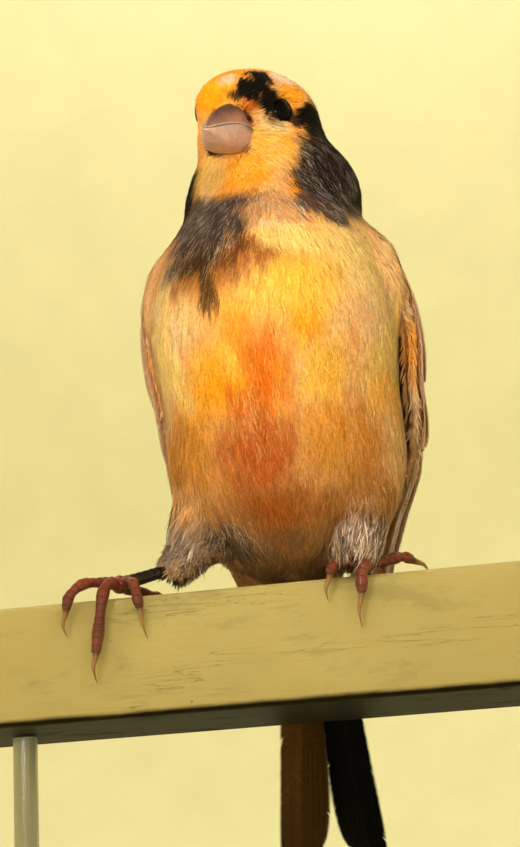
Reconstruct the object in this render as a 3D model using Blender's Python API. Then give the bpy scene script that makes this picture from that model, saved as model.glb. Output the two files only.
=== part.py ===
"""A life-size canary gripping a cut length of painted rail, held up by a plain display stand.

The bird faces -Y, so its left side is +X. Z is up, and the origin is the middle of the base's underside.
Sizes below are millimetres, and to_metres() turns them into Blender's metres.
"""

import math

import bpy
import numpy as np

# The gap that neighbouring solids keep.
GAP = 0.3

# Stand and perch.
BASE_SIZE = (112.0, 92.0, 5.0)
BASE_CORNER = 9.0
ROD_RADIUS = 2.0
ROD_X = 46.0
RAIL_TOP = 60.0
RAIL_SIZE = (110.0, 26.0, 19.0)
RAIL_ARRIS = 1.2
RAIL_BOTTOM = RAIL_TOP - RAIL_SIZE[2]
RAIL_FRONT = -RAIL_SIZE[1] / 2

# Head pose: turned to the bird's right, bill a little down, and tipped to its left.
HEAD_CENTRE = np.array((-1.9, -13.0, 141.4))
HEAD_YAW, HEAD_PITCH, HEAD_ROLL = 14.0, -16.5, -14.0

# Trunk: a long egg with breast, belly and rump, blended together.
TORSO_CENTRE, TORSO_RADII, TORSO_LEAN = (0.5, -4.0, 95.0), (19.0, 19.6, 32.0), 72.0
BREAST_CENTRE, BREAST_RADII = (0.6, -9.5, 104.0), (18.6, 17.2, 19.0)
BELLY_CENTRE, BELLY_RADII = (0.4, -2.0, 80.5), (18.4, 17.4, 17.0)
RUMP_TOP, RUMP_TOP_RADIUS = (0.0, 5.0, 84.0), 13.5
RUMP_END, RUMP_END_RADIUS = (-0.6, 14.5, 66.0), 5.6
NECK_LOW, NECK_LOW_RADIUS = (0.4, -4.5, 117.0), 14.8
NECK_HIGH, NECK_HIGH_RADIUS = (0.6, -7.4, 131.0), 10.2
RUFF_CENTRE, RUFF_RADII = (1.2, -3.0, 128.4), (14.9, 10.8, 11.6)
TRUNK_BLEND, NECK_BLEND, RUFF_BLEND, HEAD_BLEND = 7.0, 8.0, 5.5, 3.0

# Head shapes in the head's own directions: left, forward, up.
CRANIUM_CENTRE, CRANIUM_RADII = (0.5, -2.6, 0.0), (7.3, 9.7, 7.2)
HIND_CENTRE, HIND_RADII = (1.7, -6.2, -2.2), (9.9, 8.0, 9.2)
FOREHEAD_CENTRE, FOREHEAD_RADII = (-0.4, 2.2, 1.0), (6.3, 4.9, 4.5)
THROAT_CENTRE, THROAT_RADII = (0.0, -0.6, -4.8), (7.2, 7.4, 5.4)
FACE_BACK, FACE_BACK_RADIUS = (0.0, 0.4, -1.8), 5.9
FACE_FRONT, FACE_FRONT_RADIUS = (0.0, 2.0, -4.6), 4.8
FACE_BLEND = 2.4

# Eyes, lids and bill, in the head's directions too.
EYE_PLACE, EYE_RADIUS, EYE_DEPTH = (0.0, 0.8, 0.1), 2.3, 1.5
LID_RADIUS, LID_TUBE = 2.06, 0.42
BILL_ROOT, BILL_TIP = 4.6, 14.4
GAPE_UP, TIP_UP, GAPE_ARCH = -4.4, -4.5, 1.3
CULMEN_UP, CHIN_UP = 1.1, -8.0
BILL_HALF_WIDTH, BILL_SHIFT = 3.6, 1.25
NOSTRIL_PLACE, NOSTRIL_RADIUS = (1.75, 8.3, -0.6), 0.42

# Tail: a flat spray that leaves the rump and swings a little to the bird's right.
TAIL_TIP = np.array((-2.6, 46.0, 15.8))
TAIL_CORE = ((0.0, 5.6, 4.8), (0.07, 5.4, 4.0), (0.16, 4.8, 2.9), (0.27, 4.0, 1.8))
TAIL_PAIRS = 5
TAIL_NOTCH = 0.88
TAIL_INNER, TAIL_SPREAD = 3.0, 5.4
TAIL_VANE_WIDTH, TAIL_SLOPE, TAIL_SHIFT = 5.1, 0.3, 0.7
VANE_THICKNESS = 0.5


def to_metres(points):
    return np.asarray(points, float) * 0.001


def unit(vector):
    vector = np.asarray(vector, float)
    return vector / np.linalg.norm(vector)


def smooth_min(a, b, width):
    """The lower of two fields, rounded over where they meet."""
    mix = np.clip(0.5 + 0.5 * (b - a) / width, 0.0, 1.0)
    return b + (a - b) * mix - width * mix * (1.0 - mix)


def ellipsoid(points, centre, radii, axes=None):
    """About the distance to an ellipsoid whose radii lie along the rows of axes."""
    local = points - np.asarray(centre, float)
    if axes is not None:
        local = local @ axes.T
    radii = np.asarray(radii, float)
    near = np.linalg.norm(local / radii, axis=-1)
    steep = np.linalg.norm(local / radii**2, axis=-1)
    return near * (near - 1.0) / np.maximum(steep, 1e-9)


def rounded_cone(points, start, end, start_radius, end_radius):
    """About the distance to a ball that slides from start to end and changes size on the way."""
    start, end = np.asarray(start, float), np.asarray(end, float)
    run = end - start
    along = np.clip((points - start) @ run / (run @ run), 0.0, 1.0)
    nearest = start + along[..., None] * run
    return np.linalg.norm(points - nearest, axis=-1) - (start_radius + (end_radius - start_radius) * along)


def head_axes():
    """Rows: the head's left, forward and up directions."""
    yaw, pitch, roll = (math.radians(angle) for angle in (HEAD_YAW, HEAD_PITCH, HEAD_ROLL))
    level = math.cos(pitch)
    forward = np.array((-math.sin(yaw) * level, -math.cos(yaw) * level, math.sin(pitch)))
    level_left = np.array((math.cos(yaw), -math.sin(yaw), 0.0))
    level_up = np.cross(forward, level_left)
    left = math.cos(roll) * level_left + math.sin(roll) * level_up
    return np.array((left, forward, np.cross(forward, left)))


HEAD_AXES = head_axes()


def head_point(local):
    return HEAD_CENTRE + np.asarray(local, float) @ HEAD_AXES


def trunk_axes():
    lean = math.radians(TORSO_LEAN)
    long_way = np.array((0.0, -math.cos(lean), math.sin(lean)))
    return np.array(((1.0, 0.0, 0.0), np.cross(long_way, (1.0, 0.0, 0.0)), long_way))


TRUNK_AXES = trunk_axes()


def flesh(points):
    """The bird's feathered outline from tail root to face, as one blended field, negative inside."""
    points = np.asarray(points, float)
    field = ellipsoid(points, TORSO_CENTRE, TORSO_RADII, TRUNK_AXES)
    field = smooth_min(field, ellipsoid(points, BREAST_CENTRE, BREAST_RADII), TRUNK_BLEND)
    field = smooth_min(field, ellipsoid(points, BELLY_CENTRE, BELLY_RADII), TRUNK_BLEND)
    rump = rounded_cone(points, RUMP_TOP, RUMP_END, RUMP_TOP_RADIUS, RUMP_END_RADIUS)
    field = smooth_min(field, rump, TRUNK_BLEND)
    neck = rounded_cone(points, NECK_LOW, NECK_HIGH, NECK_LOW_RADIUS, NECK_HIGH_RADIUS)
    field = smooth_min(field, neck, NECK_BLEND)
    field = smooth_min(field, ellipsoid(points, RUFF_CENTRE, RUFF_RADII), RUFF_BLEND)
    cranium = ellipsoid(points, head_point(CRANIUM_CENTRE), CRANIUM_RADII, HEAD_AXES)
    throat = ellipsoid(points, head_point(THROAT_CENTRE), THROAT_RADII, HEAD_AXES)
    face = rounded_cone(
        points, head_point(FACE_BACK), head_point(FACE_FRONT), FACE_BACK_RADIUS, FACE_FRONT_RADIUS
    )
    hind = ellipsoid(points, head_point(HIND_CENTRE), HIND_RADII, HEAD_AXES)
    forehead = ellipsoid(points, head_point(FOREHEAD_CENTRE), FOREHEAD_RADII, HEAD_AXES)
    head = smooth_min(cranium, hind, FACE_BLEND)
    for shape in (smooth_min(throat, face, FACE_BLEND), forehead):
        head = smooth_min(head, shape, FACE_BLEND)
    return smooth_min(field, head, HEAD_BLEND)


def flesh_normal(points):
    """The field's outward direction, from small differences."""
    step = 0.05
    points = np.asarray(points, float)
    slope = [flesh(points + step * axis) - flesh(points - step * axis) for axis in np.eye(3)]
    slope = np.stack(slope, axis=-1)
    return slope / np.linalg.norm(slope, axis=-1, keepdims=True)


def ray_to_flesh(starts, directions, level=0.0, reach=45.0):
    """Where rays from inside the bird leave it, by halving."""
    low, high = np.zeros(len(starts)), np.full(len(starts), reach)
    for _ in range(26):
        middle = (low + high) / 2
        inside = flesh(starts + directions * middle[:, None]) < level
        low, high = np.where(inside, middle, low), np.where(inside, high, middle)
    return starts + directions * low[:, None]


def curve_through(points, count):
    """A smooth run of count points through the given ones."""
    points = np.asarray(points, float)
    padded = np.vstack((2 * points[0] - points[1], points, 2 * points[-1] - points[-2]))
    out = []
    for place in np.linspace(0.0, len(points) - 1.0, count):
        index = min(int(place), len(points) - 2)
        t = place - index
        a, b, c, d = padded[index : index + 4]
        bend, turn = 2 * a - 5 * b + 4 * c - d, 3 * b - a - 3 * c + d
        out.append(0.5 * (2 * b + (c - a) * t + bend * t**2 + turn * t**3))
    return np.array(out)


MATERIALS = {
    "plumage_orange": ((0.86, 0.45, 0.16), 0.85),
    "plumage_dark": ((0.12, 0.09, 0.07), 0.85),
    "plumage_pale": ((0.72, 0.58, 0.45), 0.85),
    "flight_feather": ((0.47, 0.38, 0.30), 0.7),
    "bill": ((0.60, 0.42, 0.38), 0.4),
    "eye": ((0.01, 0.01, 0.012), 0.08),
    "leg": ((0.10, 0.06, 0.05), 0.5),
    "toe": ((0.42, 0.15, 0.10), 0.5),
    "claw": ((0.62, 0.50, 0.36), 0.35),
    "painted_wood": ((0.80, 0.70, 0.42), 0.6),
    "stand_metal": ((0.55, 0.55, 0.56), 0.35),
}


def material(name):
    made = bpy.data.materials.get(name)
    if made is None:
        colour, roughness = MATERIALS[name]
        made = bpy.data.materials.new(name)
        made.use_nodes = True
        shader = made.node_tree.nodes["Principled BSDF"]
        shader.inputs["Base Color"].default_value = (*colour, 1.0)
        shader.inputs["Roughness"].default_value = roughness
        shader.inputs["Metallic"].default_value = 1.0 if name == "stand_metal" else 0.0
    return made


def solid(name, points, faces, material_name):
    """A mesh object in the scene, from points in millimetres."""
    mesh = bpy.data.meshes.new(name)
    mesh.from_pydata(to_metres(points).tolist(), [], [list(map(int, face)) for face in faces])
    mesh.update()
    mesh.shade_smooth()
    mesh.set_sharp_from_angle(angle=math.radians(45))
    mesh.materials.append(material(material_name))
    made = bpy.data.objects.new(name, mesh)
    bpy.context.scene.collection.objects.link(made)
    return made


def faces_out(made):
    """Turns a solid's faces over if it is inside out."""
    mesh = made.data
    mesh.calc_loop_triangles()
    volume = 0.0
    for triangle in mesh.loop_triangles:
        a, b, c = (mesh.vertices[index].co for index in triangle.vertices)
        volume += a.dot(b.cross(c))
    if volume < 0:
        mesh.flip_normals()
    return made


def ring_faces(rings, sides):
    """Triangles between neighbouring rings, and a fan over each end ring."""
    faces = []
    for ring in range(rings - 1):
        for side in range(sides):
            a, b = ring * sides + side, ring * sides + (side + 1) % sides
            faces += [(a, b, b + sides), (a, b + sides, a + sides)]
    low, high = rings * sides, rings * sides + 1
    for side in range(sides):
        following = (side + 1) % sides
        faces.append((low, following, side))
        faces.append((high, (rings - 1) * sides + side, (rings - 1) * sides + following))
    return faces


def tube(name, rings, material_name):
    """A closed solid from rings of points, each ring counter-clockwise seen against its travel."""
    rings = np.asarray(rings, float)
    count, sides = rings.shape[:2]
    points = np.vstack((rings.reshape(-1, 3), rings[0].mean(axis=0), rings[-1].mean(axis=0)))
    return faces_out(solid(name, points, ring_faces(count, sides), material_name))


def boolean(target, others, operation, solver="EXACT"):
    """Applies one Boolean with a collection of closed meshes, and removes them."""
    group = bpy.data.collections.new("boolean_operands")
    for other in others:
        group.objects.link(other)
    modifier = target.modifiers.new("join", "BOOLEAN")
    modifier.operation = operation
    modifier.operand_type = "COLLECTION"
    modifier.collection = group
    modifier.solver = solver
    graph = bpy.context.evaluated_depsgraph_get()
    result = bpy.data.meshes.new_from_object(target.evaluated_get(graph))
    target.modifiers.clear()
    target.data = result
    for other in list(others):
        bpy.data.objects.remove(other)
    bpy.data.collections.remove(group)
    return keep_largest(target)


def keep_largest(target):
    """Keeps the closed surface that encloses the most, so that scraps and sealed hollows go."""
    mesh = target.data
    parent = list(range(len(mesh.vertices)))

    def root(index):
        while parent[index] != index:
            parent[index] = parent[parent[index]]
            index = parent[index]
        return index

    for edge in mesh.edges:
        first, second = (root(index) for index in edge.vertices)
        parent[first] = second
    volumes = {}
    mesh.calc_loop_triangles()
    for triangle in mesh.loop_triangles:
        a, b, c = (mesh.vertices[index].co for index in triangle.vertices)
        key = root(triangle.vertices[0])
        volumes[key] = volumes.get(key, 0.0) + a.dot(b.cross(c))
    best = max(volumes, key=volumes.get)
    kept = [face for face in mesh.polygons if root(face.vertices[0]) == best]
    used = sorted({index for face in kept for index in face.vertices})
    place = {index: new for new, index in enumerate(used)}
    points = [np.array(mesh.vertices[index].co) * 1000 for index in used]
    faces = [[place[index] for index in face.vertices] for face in kept]
    name, material_name = target.name, mesh.materials[0].name
    bpy.data.objects.remove(target)
    return solid(name, points, faces, material_name)


# The trunk and head are cut from one field by rings that fan round from tail root to crown.
# Each station is a centre on the spine and the way the spine runs there, and how far the ring's rays lean.
SPINE = {
    "tail_cut": ((-0.4, 14.8, 65.6), 58.0),
    "rump": ((-0.2, 8.5, 76.0), 66.0),
    "waist": ((0.0, 1.0, 89.0), 74.0),
    "shoulder": ((0.0, -4.0, 106.0), 80.0),
    "neck_cut": ((0.0, -6.2, 119.0), 76.0),
    "head_cut": ((-0.9, -8.8, 131.6), 66.0),
}
BODY_SIDES = 28
HEAD_CORE = (-1.6, -11.2, 139.0)


def spine_frame(tilt, turn):
    """Ring directions for a spine that rises at tilt degrees and faces turn degrees to the bird's right."""
    tilt, turn = math.radians(tilt), math.radians(turn)
    level = np.array((-math.sin(turn), -math.cos(turn), 0.0))
    along = level * math.cos(tilt) + np.array((0.0, 0.0, math.sin(tilt)))
    side = unit(np.cross(along, level))
    return along, unit(np.cross(side, along)), side


def stations(first, last, count):
    """Centres and tilts between two named places on the spine."""
    names = list(SPINE)
    centres = [SPINE[name][0] for name in names]
    tilts = [(SPINE[name][1], 0.0, 0.0) for name in names]
    steps = np.linspace(names.index(first), names.index(last), count)
    fine = 200
    all_centres, all_tilts = curve_through(centres, fine), curve_through(tilts, fine)
    picked = np.round(steps / (len(names) - 1) * (fine - 1)).astype(int)
    return all_centres[picked], all_tilts[picked, 0]


def body_ring(centre, tilt, turn=0.0, lean=0.0, level=0.0):
    """One ring of points on the flesh, its rays leaning lean degrees along the spine."""
    along, front, side = spine_frame(tilt, turn)
    angles = np.linspace(0.0, 2 * math.pi, BODY_SIDES, endpoint=False)
    flat = np.cos(angles)[:, None] * front + np.sin(angles)[:, None] * side
    lean = math.radians(lean)
    rays = flat * math.cos(lean) + along * math.sin(lean)
    starts = np.repeat(np.asarray(centre, float)[None], BODY_SIDES, axis=0)
    return ray_to_flesh(starts, rays, level)


def trunk_rings(first, last, count, level=0.0, trim=(0.0, 0.0)):
    """Rings from one cut to another, the end ones drawn in along the spine by trim."""
    centres, tilts = stations(first, last, count)
    for end, amount in ((0, trim[0]), (-1, -trim[1])):
        along = spine_frame(tilts[end], 0.0)[0]
        centres[end] = centres[end] + along * amount
    return [body_ring(c, t, level=level) for c, t in zip(centres, tilts)]


def head_rings(count):
    """Rings that rise from the neck cut and close over the crown."""
    centre, tilt = SPINE["head_cut"]
    along = spine_frame(tilt, 0.0)[0]
    start = np.asarray(centre) + along * (GAP / 2)
    rings = [body_ring(start, tilt)]
    for step in range(1, count):
        share = step / (count - 1)
        lift = min(1.0, share * 2.2)
        core = start + (np.asarray(HEAD_CORE) - start) * lift
        rings.append(body_ring(core, tilt, HEAD_YAW * lift, lean=88.0 * share**1.15))
    return rings


def make_torso():
    return tube("torso", trunk_rings("tail_cut", "neck_cut", 20, trim=(GAP / 2, GAP / 2)), "plumage_orange")


def make_neck():
    return tube("neck", trunk_rings("neck_cut", "head_cut", 8, trim=(GAP / 2, GAP / 2)), "plumage_dark")


def bill_shift(reach):
    """How far the bill lies to the head's left, less towards its tip."""
    return BILL_SHIFT * (1.0 - 0.7 * reach)


def bill_sections(upper, grow=0.0, root=BILL_ROOT, sides=14, count=9):
    """Rings across one half of the bill, from root to tip, in the head's directions."""
    rings = []
    for share in np.linspace(0.0, 1.0, count) ** 0.9:
        forward = root + (BILL_TIP - root) * share
        reach = max(0.0, (forward - BILL_ROOT) / (BILL_TIP - BILL_ROOT))
        cut = GAPE_UP + (TIP_UP - GAPE_UP) * reach + GAPE_ARCH * math.sin(math.pi * reach**0.8)
        width = BILL_HALF_WIDTH * (1.0 - reach ** (1.5 if upper else 2.8)) + 0.32
        edge = CULMEN_UP if upper else CHIN_UP
        swell = 1.0 - reach ** (1.35 if upper else 3.4)
        end = cut + (0.42 if upper else -0.3)
        outer = end + (edge - end) * swell
        inner = cut + (GAP / 2 if upper else -GAP / 2)
        keel = 0.24 if upper else 0.10
        if not upper:
            width *= 0.93
        flat = [
            (width * math.cos(a) * (1.0 - keel * math.sin(a)), inner + (outer - inner) * math.sin(a))
            for a in np.linspace(0.0, math.pi, sides - 3)
        ]
        base = [(-width + 2 * width * (k + 1) / 4.0, inner) for k in range(3)]
        outline = np.array(flat + base)
        if grow:
            middle = outline.mean(axis=0)
            spread = outline - middle
            outline = middle + spread * (1.0 + grow / np.linalg.norm(spread, axis=1, keepdims=True))
        ring = [head_point((left + bill_shift(reach), forward, up)) for left, up in outline]
        rings.append(ring if upper else ring[::-1])
    return rings


def ball(name, centre, radius, material_name, rings=10, sides=16, pole=(0.0, 0.0, 1.0), stretch=1.0):
    """A sphere, or an egg when stretched along its pole."""
    pole = unit(pole)
    side = unit(np.cross(pole, (0.37, 0.61, 0.21)))
    front = np.cross(side, pole)
    out = []
    for lift in np.linspace(-0.5, 0.5, rings + 1)[1:-1] * math.pi:
        ring = [
            np.asarray(centre)
            + radius * math.cos(lift) * (math.cos(a) * front + math.sin(a) * side)
            + radius * stretch * math.sin(lift) * pole
            for a in np.linspace(0.0, 2 * math.pi, sides, endpoint=False)
        ]
        out.append(ring)
    points = np.vstack((np.reshape(out, (-1, 3)),
                        np.asarray(centre) - radius * stretch * pole,
                        np.asarray(centre) + radius * stretch * pole))
    return faces_out(solid(name, points, ring_faces(rings - 1, sides), material_name))


def eye_seat(side):
    """Where one eye meets the side of the head, and the way it looks."""
    start = head_point(EYE_PLACE)
    seat = ray_to_flesh(start[None], (HEAD_AXES[0] * side)[None])[0]
    return seat, flesh_normal(seat)


def eye_centre(side):
    seat, look = eye_seat(side)
    return seat - look * EYE_DEPTH


def lid_ring(side):
    """The raised ring of lid round one eye."""
    seat, look = eye_seat(side)
    first = unit(np.cross(look, HEAD_AXES[1]))
    second = np.cross(look, first)
    around, across = 20, 8
    points = []
    for turn in np.linspace(0.0, 2 * math.pi, around, endpoint=False):
        out = math.cos(turn) * first + math.sin(turn) * second
        for a in np.linspace(0.0, 2 * math.pi, across, endpoint=False):
            away, lift = LID_RADIUS + LID_TUBE * math.cos(a), LID_TUBE * math.sin(a)
            points.append(seat + out * away + look * lift)
    faces = []
    for i in range(around):
        for j in range(across):
            a, b = i * across + j, i * across + (j + 1) % across
            c, d = ((i + 1) % around) * across + (j + 1) % across, ((i + 1) % around) * across + j
            faces += [(a, b, c), (a, c, d)]
    return faces_out(solid(f"lid_{side}", points, faces, "plumage_orange"))


def make_head():
    """The head, with a ring of lid round each eye, a socket for the ball and a pocket for the bill."""
    head = faces_out(tube("head", head_rings(17), "plumage_dark"))
    head = boolean(head, [lid_ring(1), lid_ring(-1)], "UNION")
    cutters = [ball(f"socket_{side}", eye_centre(side), EYE_RADIUS + GAP, "eye") for side in (1, -1)]
    for upper in (True, False):
        rings = bill_sections(upper, grow=GAP * 1.6, root=BILL_ROOT - GAP)
        cutters.append(faces_out(tube(f"pocket_{upper}", rings, "bill")))
    for cutter in cutters:
        head = boolean(head, [cutter], "DIFFERENCE")
    return head


def make_bill():
    upper = faces_out(tube("bill_upper", bill_sections(True), "bill"))
    left, forward, up = NOSTRIL_PLACE
    middle = bill_shift((forward - BILL_ROOT) / (BILL_TIP - BILL_ROOT))
    nostrils = []
    for way in (1, -1):
        place = head_point((middle + left * way, forward, up))
        nostrils.append(ball(f"nostril_{way}", place, NOSTRIL_RADIUS, "bill", 6, 8, HEAD_AXES[1], 1.5))
    boolean(upper, nostrils, "DIFFERENCE")
    faces_out(tube("bill_lower", bill_sections(False), "bill"))


def make_eyes():
    for name, side in (("eye_left", 1), ("eye_right", -1)):
        ball(name, eye_centre(side), EYE_RADIUS, "eye", 10, 16, HEAD_AXES[0] * side)


def sweep(name, path, radii, material_name, sides=8, flatten=1.0, flat_way=(0.0, 0.0, 1.0)):
    """A tube of changing radius along a path, squashed along flat_way by flatten."""
    path = np.asarray(path, float)
    flat_way = unit(flat_way)
    rings, side = [], None
    for index, point in enumerate(path):
        ahead = path[min(index + 1, len(path) - 1)] - path[max(index - 1, 0)]
        along = unit(ahead)
        if side is None:
            side = unit(np.cross(along, flat_way if abs(along @ flat_way) < 0.9 else (1.0, 0.0, 0.0)))
        side = unit(side - along * (side @ along))
        other = np.cross(along, side)
        angles = np.linspace(0.0, 2 * math.pi, sides, endpoint=False)
        ring = [point + radii[index] * (math.cos(a) * side + flatten * math.sin(a) * other) for a in angles]
        rings.append(ring)
    return faces_out(tube(name, rings, material_name))


# Legs: each has a feathered sleeve, a bare shank, a palm on the rail and four toes with claws.
LEGS = {
    "right": {
        "sleeve": ((-9.5, -3.5, 79.0), (-12.4, -6.0, 72.0), (-15.8, -6.8, 67.0), (-17.8, -7.6, 65.0)),
        "palm": (-26.2, -11.0, 62.35),
        "outer": ((-29.0, -12.6, 62.6), (-31.4, -14.4, 62.2), (-33.2, -15.5, 60.4), (-34.0, -15.2, 58.2)),
        "outer_claw": ((-34.1, -15.2, 57.6), (-34.4, -15.7, 55.7), (-34.0, -14.5, 53.9)),
        "middle": ((-27.2, -13.9, 62.0), (-27.8, -15.6, 60.0), (-28.6, -15.3, 55.5), (-29.3, -15.1, 51.0)),
        "middle_claw": ((-29.4, -15.2, 50.4), (-29.6, -15.8, 48.6), (-29.6, -14.2, 46.6)),
        "inner": ((-24.2, -12.8, 62.2), (-23.0, -14.7, 61.4), (-22.4, -15.4, 59.4), (-22.1, -15.0, 57.6)),
        "inner_claw": ((-22.0, -15.0, 57.0), (-21.6, -15.7, 54.9), (-21.1, -14.5, 52.6)),
        "hind": ((-25.2, -8.2, 62.0), (-24.0, -5.2, 61.7), (-22.8, -2.4, 61.6), (-22.2, -0.6, 61.6)),
        "hind_claw": ((-22.0, 0.0, 61.8), (-21.2, 2.4, 62.4), (-20.4, 4.4, 60.9)),
    },
    "left": {
        "sleeve": ((11.5, -3.0, 79.0), (12.4, -7.4, 73.0), (12.4, -8.0, 68.4), (12.7, -8.6, 66.4)),
        "palm": (13.9, -11.2, 62.35),
        "outer": ((16.4, -10.4, 62.2), (17.8, -9.2, 62.8), (19.2, -8.0, 63.1), (20.3, -7.0, 62.7)),
        "outer_claw": ((20.8, -6.6, 62.5), (21.9, -5.8, 62.1), (22.6, -5.2, 61.0)),
        "middle": ((13.8, -13.9, 61.9), (13.6, -15.4, 60.8), (13.1, -15.4, 58.8), (12.9, -15.1, 56.8)),
        "middle_claw": ((12.8, -15.1, 56.2), (12.4, -15.8, 53.9), (12.5, -14.5, 51.4)),
        "inner": ((11.4, -12.6, 62.2), (9.8, -14.2, 62.0), (8.7, -15.2, 61.0), (8.2, -15.3, 60.0)),
        "inner_claw": ((8.1, -15.3, 59.4), (7.5, -15.8, 57.6), (7.6, -14.5, 55.9)),
        "hind": ((13.2, -8.4, 62.0), (12.6, -5.2, 61.7), (12.0, -2.4, 61.6), (11.7, -0.6, 61.6)),
        "hind_claw": ((11.6, 0.0, 61.8), (11.2, 2.4, 62.4), (10.8, 4.4, 60.9)),
    },
}
TOES = ("outer", "middle", "inner", "hind")
TOE_RADIUS = {"outer": 1.0, "middle": 1.1, "inner": 1.0, "hind": 1.15}
SLEEVE_RADII = (7.4, 5.6, 3.1, 2.3)
SHANK_RADIUS = 1.05
PALM_RADIUS = 1.75


def toe_radii(radius, count):
    """Pads between the joints make the toe swell three times on its way."""
    shares = np.linspace(0.0, 1.0, count)
    return radius * (1.0 + 0.10 * np.sin(shares * 3.0 * math.pi) ** 2 - 0.12 * shares)


def make_leg(side):
    """A feathered sleeve, a bare shank, a foot whose palm and toes are one, and its claws."""
    leg = LEGS[side]
    path = curve_through(leg["sleeve"], 10)
    radii = np.interp(np.linspace(0.0, 3.0, 10), range(4), SLEEVE_RADII)
    palm = np.array(leg["palm"])
    toward = unit(palm - path[-1])
    start, stop = path[-1] - toward * 0.4, palm - toward * PALM_RADIUS
    shank = [start + (stop - start) * share for share in np.linspace(0.0, 1.0, 7)]
    swell = SHANK_RADIUS * (1.0 + 0.22 * np.linspace(-1.0, 1.0, 7) ** 2)
    sweep(f"tarsus_{side}", shank, swell, "leg", 10)

    def grown_shank():
        shell = [start - toward * GAP, *shank[1:-1], stop + toward * GAP]
        return sweep(f"around_{side}", shell, swell + GAP, "leg", 10)

    sleeve = sweep(f"thigh_{side}", path, radii, "plumage_pale", 16)
    shell = tube("shell", trunk_rings("tail_cut", "neck_cut", 20, level=GAP), "plumage_orange")
    sleeve = boolean(sleeve, [shell], "DIFFERENCE")
    boolean(sleeve, [grown_shank()], "DIFFERENCE")
    foot = ball(f"foot_{side}", palm, PALM_RADIUS, "toe", 7, 10, toward)
    toes = []
    for toe in TOES:
        path = curve_through((palm, *leg[toe]), 10)
        toes.append(sweep(f"toe_{toe}_{side}", path, toe_radii(TOE_RADIUS[toe], 10), "toe", 8))
        hook = curve_through(leg[f"{toe}_claw"], 7)
        claw = TOE_RADIUS[toe] * 0.72 * (1.0 - np.linspace(0.0, 0.93, 7) ** 1.4)
        sweep(f"claw_{toe}_{side}", hook, claw, "claw", 8)
    foot = boolean(foot, toes, "UNION")
    boolean(foot, [grown_shank()], "DIFFERENCE")


def vane(name, path, across, out, half_widths, slope, material_name):
    """A thin closed blade along a path, leaning by slope so that its near edge lies over its neighbour."""
    points = []
    for centre, way, up, width in zip(path, across, out, half_widths):
        lean = unit(way - up * slope)
        face = unit(up + way * slope)
        lift = face * VANE_THICKNESS / 2
        left, right = centre - lean * width, centre + lean * width
        points += [left + lift, right + lift, right - lift, left - lift]
    faces = [(0, 3, 2), (0, 2, 1)]
    for row in range(len(path) - 1):
        a = row * 4
        faces += [(a, a + 1, a + 5), (a, a + 5, a + 4), (a + 3, a + 6, a + 2), (a + 3, a + 7, a + 6)]
        faces += [(a + 1, a + 2, a + 6), (a + 1, a + 6, a + 5), (a + 3, a, a + 4), (a + 3, a + 4, a + 7)]
    last = len(points) - 4
    faces += [(last, last + 1, last + 2), (last, last + 2, last + 3)]
    return faces_out(solid(name, points, faces, material_name))


def vane_shares(rows):
    """Places along a feather, closer together near its rounded tip."""
    return 1.0 - (1.0 - np.linspace(0.0, 1.0, rows)) ** 1.5


def vane_widths(width, rows, root=0.5):
    """Half widths that grow from the root, hold, and round off at the tip."""
    shares = vane_shares(rows)
    grow = root + (1.0 - root) * np.clip(shares / 0.35, 0.0, 1.0)
    close = np.sqrt(np.clip(1.0 - np.clip((shares - 0.76) / 0.25, 0.0, 1.0) ** 2, 0.0, 1.0))
    return width / 2 * grow * np.maximum(close, 0.22)


def tail_directions():
    """Where the tail leaves the rump, its reach to the tip, and its way out of the upper face."""
    root, tilt = SPINE["tail_cut"]
    along, front, _ = spine_frame(tilt, 0.0)
    return np.asarray(root) - along * (GAP / 2), -front


def tail_vane(name, start, end, level, width, rows, slope, colour):
    """One tail feather: start and end are each a share of the tail's length and a place across it."""
    root, up = tail_directions()
    reach = TAIL_TIP - root
    side = np.array((1.0, 0.0, 0.0))
    shares = vane_shares(rows)
    lengths = start[0] + (end[0] - start[0]) * shares
    places = start[1] + (end[1] - start[1]) * shares
    heights = level[0] + (level[1] - level[0]) * shares
    path = [root + reach * a + side * b + up * c for a, b, c in zip(lengths, places, heights)]
    return vane(name, path, [side] * rows, [up] * rows, vane_widths(width, rows), slope, colour)


def make_tail():
    """Ten rectrices in five pairs, the middle pair uppermost, with coverts over and under their roots."""
    root, up = tail_directions()
    reach = TAIL_TIP - root
    rings = []
    for share, width, depth in TAIL_CORE:
        angles = np.linspace(0.0, 2 * math.pi, 16, endpoint=False)
        rings.append([
            root + reach * share + np.array((width * math.cos(a), 0.0, 0.0)) + up * depth * math.sin(a)
            for a in angles
        ])
    tail = tube("tail", rings, "flight_feather")
    vanes = []
    for pair in range(TAIL_PAIRS):
        share = pair / (TAIL_PAIRS - 1)
        for way in (1, -1):
            start = (0.05, TAIL_SHIFT + way * (0.8 + 2.1 * share))
            end = (TAIL_NOTCH + (1.0 - TAIL_NOTCH) * share, way * (TAIL_INNER + TAIL_SPREAD * share))
            level = (1.3 - 2.4 * share) * np.array((1.0, 0.9))
            name, lean = f"rectrix_{pair}_{way}", way * TAIL_SLOPE
            vanes.append(tail_vane(name, start, end, level, TAIL_VANE_WIDTH, 7, lean, "flight_feather"))
    for face, reach_share in ((1, 0.34), (-1, 0.40)):
        for place in range(-2, 3):
            start, end = (0.015, place * 1.9), (reach_share - 0.035 * abs(place), place * 2.2)
            level = (face * 2.6, face * (2.9 - 0.2 * abs(place)))
            name = f"tail_covert_{face}_{place}"
            lean = 0.24 * face * (1 if place >= 0 else -1) if place else 0.0
            vanes.append(tail_vane(name, start, end, level, 4.2, 5, lean, "plumage_pale"))
    return boolean(tail, vanes, "UNION")


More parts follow.
